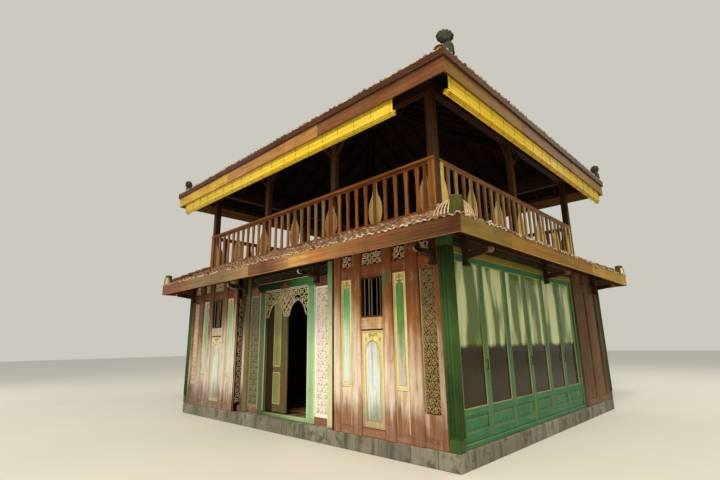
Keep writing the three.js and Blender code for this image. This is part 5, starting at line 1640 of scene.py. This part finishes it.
def shell(job, place, out, beside):
    """A fluted shell that leans off a waisted neck and faces out over the corner."""
    size, thick, flutes = 0.130, 0.075, 11
    across = Vector((out.y, -out.x, 0.0))
    centre = place + Vector((0.0, 0.0, size * 1.02))
    rings, spokes = 7, 44
    points = []
    for facing in (1, -1):
        for r in range(rings + 1):
            part = r / rings
            for k in range(spokes):
                angle = 2 * math.pi * k / spokes
                flute = math.cos(flutes * (angle + math.pi / 2)) * part
                reach = size * part * (1.0 + 0.045 * flute) * (1.0 if math.sin(angle) > -0.3 else 0.93)
                belly = thick * ((1 - part ** 2.2) ** 0.5 * 0.72 + 0.13 * flute + 0.14 * (r < rings))
                belly += 0.012 * (r == 5)
                upright = Vector((0.0, 0.0, reach * 0.82 * math.sin(angle)))
                points.append(tuple(
                    centre + across * (reach * 0.98 * math.cos(angle)) + upright + out * (belly * facing)))
    block, rim = (rings + 1) * spokes, rings * spokes
    faces = [face[1:] + face[:1] for face in ring_faces(rings, spokes)]
    faces += [tuple(block + i for i in reversed(face)) for face in faces]
    for k in range(spokes):
        a, b = rim + k, rim + (k + 1) % spokes
        faces.append((a, b, block + b, block + a))
    job.add(points, faces, "z", None, 0.5, None, True)
    profile = [(0.088, -0.15), (0.078, -0.02), (0.074, 0.0), (0.060, 0.015), (0.050, 0.05), (0.048, 0.085),
               (0.066, 0.11), (0.078, 0.13), (0.060, 0.16), (0.04, 0.19)]
    neck, sides = place + beside * 0.040, 12
    points = []
    for radius, z in profile:
        for k in range(sides):
            angle = 2 * math.pi * (k + 0.5) / sides
            level = across * (radius * math.cos(angle)) + out * (radius * 0.72 * math.sin(angle))
            points.append(tuple(neck + level + Vector((0.0, 0.0, z))))
    job.add(points, ring_faces(len(profile) - 1, sides), "z", None, 0.4, None, True)


def horn(job, foot, tip, width):
    """A curved claw that stands on the tile edge: it rises first and then leans towards the block."""
    path = []
    for i in range(11):
        t = i / 10
        point = foot.lerp(tip, t ** 1.7)
        point.z = foot.z - 0.02 + (tip.z - foot.z + 0.02) * math.sin(t * math.pi / 2)
        path.append(point)
    job.tube(path, lambda t: width * (1.0 - 0.72 * t), 8, "horn", 0.9)


def corner_block(job, seat, inward):
    """A swelling square block with a thin cap, set back from the corner along inward."""
    across = Vector((-inward.y, inward.x, 0.0))
    rows = [(0.088, -0.045, 0.0), (0.092, 0.04, 0.0), (0.088, 0.12, 0.0), (0.074, 0.16, 0.004),
            (0.078, 0.172, 0.004), (0.078, 0.196, 0.006), (0.066, 0.206, 0.008)]
    sides = 16
    points = []
    for half, z, lean in rows:
        for k in range(sides):
            angle = 2 * math.pi * (k + 0.5) / sides
            squareness = 1 / max(abs(math.cos(angle)), abs(math.sin(angle))) ** 0.8
            u = half * squareness * math.cos(angle) * 0.98
            v = half * squareness * math.sin(angle) * 0.88
            points.append(tuple(seat + across * u + inward * (0.085 + v + lean) + Vector((0.0, 0.0, z))))
    top = (len(rows) - 1) * sides
    faces = [*ring_faces(len(rows) - 1, sides), tuple(range(top, top + sides))]
    job.add(points, faces, "z", None, 0.5, None, True)


def skirt_hips():
    """Cap tiles on the skirt's hips, the mossy block at each corner and the pale horns beside it."""
    for a, sy in (("front", -1), ("back", 1)):
        for b, sx in (("right", 1), ("left", -1)):
            job = Joinery(f"skirt_corner_{a}_{b}", "mossy block", 121 + sx + 3 * sy)

            def spot(out):
                return Vector((sx * (GALLERY_X + out), sy * (GALLERY_Y + out), skirt_top(out)))

            cap_run(job, spot(0.74), spot(0.01), 0.068, 0.066, 0.17)
            corner_block(job, spot(SKIRT_LIP - 0.06), Vector((-sx, -sy, 0.0)).normalized())
            edge_x, edge_y = GALLERY_X + SKIRT_LIP - 0.035, GALLERY_Y + SKIRT_LIP - 0.035
            seat = skirt_top(SKIRT_LIP - 0.03)
            for i in range(5):
                back, lean = 0.15 + 0.052 * i, 0.070 + 0.024 * i
                for ax, ay in ((1, 0), (0, 1)):
                    foot = Vector((sx * (edge_x - ax * back), sy * (edge_y - ay * back), seat))
                    rise = 0.175 - 0.008 * i
                    tip = foot + Vector((sx * (ax * lean - ay * 0.02), sy * (ay * lean - ax * 0.02), rise))
                    horn(job, foot, tip, 0.0125 - 0.0012 * i)
            job.make(replaces=(f"skirt_hip_{a}_{b}",))


def ridge_and_shells():
    """Cap tiles on the ridge and hips of the main roof, with a shell ornament at each corner."""
    job = Joinery("ridge_and_hip_caps", "cap tile", 131)
    shells = Joinery("corner_shells", "shell", 132)
    ridge, peak = ROOF_LIP_X - ROOF_LIP_Y, roof_top(ROOF_LIP_Y)
    for sx in (-1, 1):
        for sy in (-1, 1):
            def spot(run, up=0.0):
                return Vector((sx * (ROOF_LIP_X - run), sy * (ROOF_LIP_Y - run), roof_top(run) + up))

            cap_run(job, spot(0.17), (sx * ridge, 0.0, peak), 0.078, 0.080, 0.22)
            job.tube([spot(run, -0.006) for run in (0.176, 0.26, 0.34)], 0.071, 12, None, 0.2)
            out, beside = Vector((sx, sy, 0.0)).normalized(), Vector((sx, -sy, 0.0)).normalized()
            shell(shells, spot(0.170, 0.068) + beside * 0.085, out, beside)
    cap_run(job, (-ridge - 0.08, 0.0, peak + 0.02), (ridge + 0.05, 0.0, peak + 0.02), 0.088, 0.098, 0.21)
    job.make(replaces=("roof_ridge",))
    shells.make()


# Gallery

def vase_outline(centre, left, right):
    """Outline of a flat vase board; left and right scale its two halves."""
    side = [(0.100, 0.0), (0.128, 0.06), (0.148, 0.15), (0.150, 0.25), (0.135, 0.34), (0.100, 0.43),
            (0.064, 0.50), (0.048, 0.56), (0.043, 0.62)]
    side = [(half, KERB_TOP + rise) for half, rise in side] + [(0.043, SLAT_TOP)]
    outline = [(centre + half * right, z) for half, z in side]
    return outline + [(centre - half * left, z) for half, z in reversed(side)]


def slat_outline(centre):
    """Outline of a slat with a slim waist."""
    side = [(0.035, 0.0), (0.029, 0.10), (0.026, 0.28), (0.027, 0.46), (0.031, 0.56), (0.038, 0.61)]
    side = [(half, KERB_TOP + rise) for half, rise in side] + [(0.038, SLAT_TOP)]
    return [(centre + half, z) for half, z in side] + [(centre - half, z) for half, z in reversed(side)]


def balustrade(side, reach, per_bay):
    """Kerb and rail with slats between them, and vase boards in the middle and at the ends of each bay."""
    on_front = side in ("front", "back")
    face, _ = face_and_half(side, GALLERY_X, GALLERY_Y)
    job = Joinery(f"balustrade_{side}_timber", "rail", 141 + TURN[side], -face)
    # Painted light: slats and boards of the side balustrades take paler tones, as in sunlight.
    bays, sunlit_side_lift = 3, 0.0 if on_front else 0.42

    def tone(low, high):
        return min(1.0, sunlit_side_lift + job.chance.uniform(low, high))

    def vase(centre, left, right, core):
        job.cutout(vase_outline(centre, left, right), 0.012, 0.034, "z", 0.005, None, tone(0.52, 0.72))
        xs = (centre - core * min(1.0, left), centre + core * min(1.0, right))
        job.board(xs, (0.002, 0.046), (KERB_TOP, SLAT_TOP), "z", 0.006, None, tone(0.05, 0.3))

    for ys, zs, cut, low, high in (
        ((0.0, 0.06), (DECK, KERB_TOP), 0.006, 0.10, 0.25),
        ((-0.004, 0.064), (KERB_TOP - 0.035, KERB_TOP), 0.008, 0.2, 0.3),
        ((-0.008, 0.052), (RAIL_TOP - 0.05, RAIL_TOP), 0.012, 0.0, 0.12),
        ((0.0, 0.044), (RAIL_TOP - 0.09, RAIL_TOP - 0.05), 0.006, 0.1, 0.2),
    ):
        job.board((-reach, reach), ys, zs, "x", cut, None, tone(low, high))
    bay = 2 * reach / bays
    step = bay / (per_bay + 1)
    for i in range(bays):
        start = -reach + i * bay
        for k in range(1, per_bay + 1):
            centre = start + k * step
            if k == (per_bay + 1) // 2:
                vase(centre, 1.0, 1.0, 0.034)
            else:
                pale = (0.45, 0.64) if on_front and centre < 1.5 else (0.02, 0.24 if on_front else 0.50)
                job.cutout(slat_outline(centre), 0.006, 0.044, "z", 0.007, None, tone(*pale))
        if i:
            vase(start, 1.1, 1.1, 0.055)
    vase(-reach + 0.05, 0.3, 1.0, 0.05)
    vase(reach - 0.05, 1.0, 0.3, 0.05)
    zs = (DECK + 0.01, RAIL_TOP - 0.055)
    end = GALLERY_X - 0.004
    # The side balustrades' pale end boards are painted light as well.
    ends = [(reach, (0.003, 0.080), (-0.012, 0.050), 0.007, 0.97)]
    if on_front:
        job.board((-end, end), (-0.036, -0.001), (zs[1], RAIL_TOP), "x", 0.010, None, 0.30)
        ends = [(end, (0.006, 0.122), (-0.026, -0.001), 0.006, 0.36),
                (end, (0.050, 0.078), (-0.030, -0.025), 0.003, 0.20)]
    for edge in (-1, 1):
        for tip, run, ys, cut, shade in ends:
            job.board([edge * (tip - back) for back in run], ys, zs, "z", cut, None, shade)
    job.make(side, (f"balustrade_{side}",))


def balustrades():
    """Balustrades between the corner posts on the four sides of the gallery."""
    front, side = GALLERY_X - GALLERY_POST, GALLERY_Y - GALLERY_POST
    balustrade("front", front, 9)
    balustrade("back", front, 9)
    balustrade("right", side, 7)
    balustrade("left", side, 7)


def upper_frames():
    """Wall plates on posts, with braces to the posts between the corners."""
    plate = (_frame_high.z - 0.22, _frame_high.z)
    for side in TURN:
        on_front = side in ("front", "back")
        face, end = face_and_half(side, GALLERY_X, GALLERY_Y)
        end -= 0.0 if on_front else GALLERY_POST
        job = Joinery(f"gallery_frame_{side}", "dark timber", 151 + TURN[side], -face)
        job.board((-end, end), (0.0, 0.14), plate, "x", 0.008, None, 0.35)
        job.board((-end, end), (0.0, 0.02), (plate[0], plate[0] + 0.03), "x", 0.008, None, 0.6)
        depth = job.face + 0.10
        for along in ((-1.11, 1.11) if on_front else (0.0,)):
            job.board(
                (along - 0.06, along + 0.06), (0.06, 0.18), (DECK, plate[0]), "z", 0.010, "gallery post", 0.9)
            for edge in (-1, 1):
                ends = [
                    (along + edge * out, depth, plate[0] - drop) for out, drop in ((0.05, 0.36), (0.36, 0.03))]
                job.beam(*ends, 0.05, 0.07, "gallery post", 0.5)
        if on_front:
            for edge in (-1, 1):
                xs = (edge * end, edge * (end - GALLERY_POST))
                job.board(xs, (0.0, GALLERY_POST), (DECK, plate[0]), "z", 0.012, "gallery post", 0.4)
        job.make(side, (f"upper_frame_{side}",))


def blind(side):
    """A rolled blind: level culms tied by cords, with the roll at the foot."""
    job = Joinery(f"bamboo_blind_{side}", "bamboo", 161 + TURN[side])
    low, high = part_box(f"blind_{side}")
    start, end, face = (low.x, high.x, -low.y) if side == "front" else (low.y, high.y, high.x)
    roll_y, roll_z = 0.052 - face, low.z + 0.052
    depth, culm, pitch = 0.005 - face, 0.0068, 0.0142

    def lay_culm(y, z, uneven):
        a, b = start + job.chance.uniform(0.0, uneven), end - job.chance.uniform(0.0, uneven)
        job.tube([(a, y, z), ((a + b) / 2, y, z), (b, y, z)], culm, 6, None, None, "x")

    z = roll_z + 0.004
    while z < high.z - 0.012:
        lay_culm(depth, z, 0.02)
        z += pitch
    for turn in range(30):
        angle, radius = turn * 0.62, 0.0445 - 0.0012 * turn
        lay_culm(roll_y + radius * math.cos(angle), roll_z + radius * math.sin(angle), 0.03)
    count = round((end - start) / 0.40)
    for i in range(count + 1):
        a = start + 0.06 + (end - start - 0.12) * i / count
        job.tube([(a, depth - 0.0075, high.z - 0.01), (a, depth - 0.0075, roll_z + 0.05)], 0.0028, 5, "cord")
        loop = [(a, roll_y + 0.0535 * math.cos(t), roll_z + 0.0535 * math.sin(t))
                for t in [2 * math.pi * k / 16 for k in range(17)]]
        job.tube(loop, 0.003, 5, "cord")
    job.make(side, (f"blind_{side}",))


def blinds():
    """The two rolled blinds, over the front and over the glazed side."""
    blind("front")
    blind("right")


# Stage

def stage():
    """Studio floor, world light, three lamps and a camera at the photo's angle."""
    scene = bpy.context.scene
    mesh = bpy.data.meshes.new("studio_floor")
    far = 60.0
    corners = [(-far, -far, 0.0), (far, -far, 0.0), (far, far, 0.0), (-far, far, 0.0)]
    mesh.from_pydata(corners, [], [(0, 1, 2, 3)])
    mesh.materials.append(plain_floor("studio floor").material)
    floor = bpy.data.objects.new("studio_floor", mesh)
    scene.collection.objects.link(floor)
    world = bpy.data.worlds.new("studio")
    world.use_nodes = True
    background = world.node_tree.nodes["Background"]
    background.inputs[0].default_value = (1.0, 0.97, 0.87, 1.0)
    background.inputs[1].default_value = 0.60
    scene.world = world
    for name, place, aim, power, size, colour in (
        ("key", (9.0, -13.0, 17.0), (1.0, -2.0, 2.5), 2900.0, 4.0, (1.0, 0.90, 0.66)),
        ("fill", (-14.0, -12.0, 6.0), (-1.0, -2.0, 2.0), 420.0, 9.0, (1.0, 0.97, 0.86)),
        ("rim", (8.0, 14.0, 14.0), (0.0, 0.0, 5.0), 900.0, 8.0, (1.0, 0.95, 0.82)),
    ):
        light = bpy.data.lights.new(name, "AREA")
        light.energy = power
        light.size = size
        light.color = colour
        lamp = bpy.data.objects.new(name, light)
        lamp.location = place
        lamp.rotation_euler = (Vector(aim) - Vector(place)).to_track_quat("-Z", "Y").to_euler()
        scene.collection.objects.link(lamp)
    camera_data = bpy.data.cameras.new("camera")
    photo_focal, photo_width = 425.5, 720.0
    camera_data.sensor_width = 36.0
    camera_data.lens = photo_focal / photo_width * 36.0
    camera_data.clip_end = 200.0
    camera = bpy.data.objects.new("camera", camera_data)
    yaw, pitch, roll = (math.radians(angle) for angle in (43.8, 13.6, 0.88))
    turn = Matrix.Rotation(yaw, 4, "Z") @ Matrix.Rotation(math.pi / 2 + pitch, 4, "X")
    turn = turn @ Matrix.Rotation(-roll, 4, "Z")
    camera.matrix_world = Matrix.Translation((6.785, -8.114, 1.54)) @ turn
    scene.collection.objects.link(camera)
    scene.camera = camera
    scene.view_settings.view_transform = "Standard"
    scene.view_settings.look = "None"


# One operator for each group of pieces

class HOUSE_OT_stage(bpy.types.Operator):
    """Floor, lights and camera"""
    bl_idname = "house.stage"
    bl_label = "Stage"

    def execute(self, context):
        stage()
        return {"FINISHED"}


class HOUSE_OT_plinth(bpy.types.Operator):
    """Stone plinth and tiled floor"""
    bl_idname = "house.plinth"
    bl_label = "Plinth and floor"

    def execute(self, context):
        plinth_and_floor()
        return {"FINISHED"}


class HOUSE_OT_corner_posts(bpy.types.Operator):
    """Beaded green posts"""
    bl_idname = "house.corner_posts"
    bl_label = "Corner posts"

    def execute(self, context):
        corner_posts()
        return {"FINISHED"}


class HOUSE_OT_carved_walls(bpy.types.Operator):
    """Uprights, panels and carving on the front"""
    bl_idname = "house.carved_walls"
    bl_label = "Carved walls"

    def execute(self, context):
        carved_walls(context.scene.house_sizes)
        return {"FINISHED"}


class HOUSE_OT_doorway(bpy.types.Operator):
    """Recessed frame with its lace strips"""
    bl_idname = "house.doorway"
    bl_label = "Doorway"

    def execute(self, context):
        doorway(context.scene.house_sizes)
        return {"FINISHED"}


class HOUSE_OT_valance(bpy.types.Operator):
    """Openwork board over the doors"""
    bl_idname = "house.valance"
    bl_label = "Valance"

    def execute(self, context):
        valance()
        return {"FINISHED"}


class HOUSE_OT_door_leaves(bpy.types.Operator):
    """The two pivoted leaves"""
    bl_idname = "house.door_leaves"
    bl_label = "Door leaves"

    def execute(self, context):
        door_leaves()
        return {"FINISHED"}


class HOUSE_OT_glazed_doors(bpy.types.Operator):
    """Folding doors with their panes"""
    bl_idname = "house.glazed_doors"
    bl_label = "Glazed doors"

    def execute(self, context):
        glazed_doors()
        return {"FINISHED"}


class HOUSE_OT_boarded_walls(bpy.types.Operator):
    """Side and back walls"""
    bl_idname = "house.boarded_walls"
    bl_label = "Boarded walls"

    def execute(self, context):
        boarded_walls(context.scene.house_sizes)
        return {"FINISHED"}


class HOUSE_OT_beams(bpy.types.Operator):
    """Beams with eave brackets"""
    bl_idname = "house.beams"
    bl_label = "Beams"

    def execute(self, context):
        beams_and_brackets()
        return {"FINISHED"}


class HOUSE_OT_gallery_floor(bpy.types.Operator):
    """Boards on joists"""
    bl_idname = "house.gallery_floor"
    bl_label = "Gallery floor"

    def execute(self, context):
        gallery_floor(context.scene.house_sizes)
        return {"FINISHED"}


class HOUSE_OT_skirt_roofs(bpy.types.Operator):
    """Tiles, boards and rafters of the skirt roof"""
    bl_idname = "house.skirt_roofs"
    bl_label = "Skirt roof"

    def execute(self, context):
        skirt_roofs(context.scene.house_sizes)
        return {"FINISHED"}


class HOUSE_OT_eave_boards(bpy.types.Operator):
    """Boards along both eaves"""
    bl_idname = "house.eave_boards"
    bl_label = "Eave boards"

    def execute(self, context):
        eave_boards()
        return {"FINISHED"}


class HOUSE_OT_skirt_hips(bpy.types.Operator):
    """Hip tiles, corner blocks and horns"""
    bl_idname = "house.skirt_hips"
    bl_label = "Skirt corners"

    def execute(self, context):
        skirt_hips()
        return {"FINISHED"}


class HOUSE_OT_balustrades(bpy.types.Operator):
    """Rails, slats and vase boards"""
    bl_idname = "house.balustrades"
    bl_label = "Balustrades"

    def execute(self, context):
        balustrades()
        return {"FINISHED"}


class HOUSE_OT_upper_frames(bpy.types.Operator):
    """Posts and wall plates"""
    bl_idname = "house.upper_frames"
    bl_label = "Gallery frame"

    def execute(self, context):
        upper_frames()
        return {"FINISHED"}


class HOUSE_OT_upper_roofs(bpy.types.Operator):
    """Tiles, boards and rafters of the main roof"""
    bl_idname = "house.upper_roofs"
    bl_label = "Upper roof"

    def execute(self, context):
        upper_roofs(context.scene.house_sizes)
        return {"FINISHED"}


class HOUSE_OT_ridge(bpy.types.Operator):
    """Cap tiles and corner shells"""
    bl_idname = "house.ridge"
    bl_label = "Ridge and shells"

    def execute(self, context):
        ridge_and_shells()
        return {"FINISHED"}


class HOUSE_OT_blinds(bpy.types.Operator):
    """Rolled bamboo blinds"""
    bl_idname = "house.blinds"
    bl_label = "Blinds"

    def execute(self, context):
        blinds()
        return {"FINISHED"}


OPERATORS = [
    HOUSE_OT_stage, HOUSE_OT_plinth, HOUSE_OT_corner_posts, HOUSE_OT_carved_walls, HOUSE_OT_doorway,
    HOUSE_OT_valance, HOUSE_OT_door_leaves, HOUSE_OT_glazed_doors, HOUSE_OT_boarded_walls, HOUSE_OT_beams,
    HOUSE_OT_gallery_floor, HOUSE_OT_skirt_roofs, HOUSE_OT_eave_boards, HOUSE_OT_skirt_hips,
    HOUSE_OT_balustrades, HOUSE_OT_upper_frames, HOUSE_OT_upper_roofs, HOUSE_OT_ridge, HOUSE_OT_blinds,
]


class HOUSE_PT_pieces(bpy.types.Panel):
    bl_label = "Gallery house"
    bl_idname = "HOUSE_PT_pieces"
    bl_space_type = "VIEW_3D"
    bl_region_type = "UI"
    bl_category = "House"

    def draw(self, context):
        layout = self.layout
        for group in (context.scene.house_sizes, context.scene.house_colours):
            column = layout.column()
            for name in group.__annotations__:
                column.prop(group, name)
        for operator in OPERATORS:
            layout.operator(operator.bl_idname)


CLASSES = [HouseSizes, HouseColours, *OPERATORS, HOUSE_PT_pieces]


def register():
    for cls in CLASSES:
        bpy.utils.register_class(cls)
    bpy.types.Scene.house_sizes = PointerProperty(type=HouseSizes)
    bpy.types.Scene.house_colours = PointerProperty(type=HouseColours)


def unregister():
    del bpy.types.Scene.house_colours
    del bpy.types.Scene.house_sizes
    for cls in reversed(CLASSES):
        bpy.utils.unregister_class(cls)


def main():
    register()
    for operator in OPERATORS:
        group, name = operator.bl_idname.split(".")
        getattr(getattr(bpy.ops, group), name)()


if __name__ == "__main__":
    main()
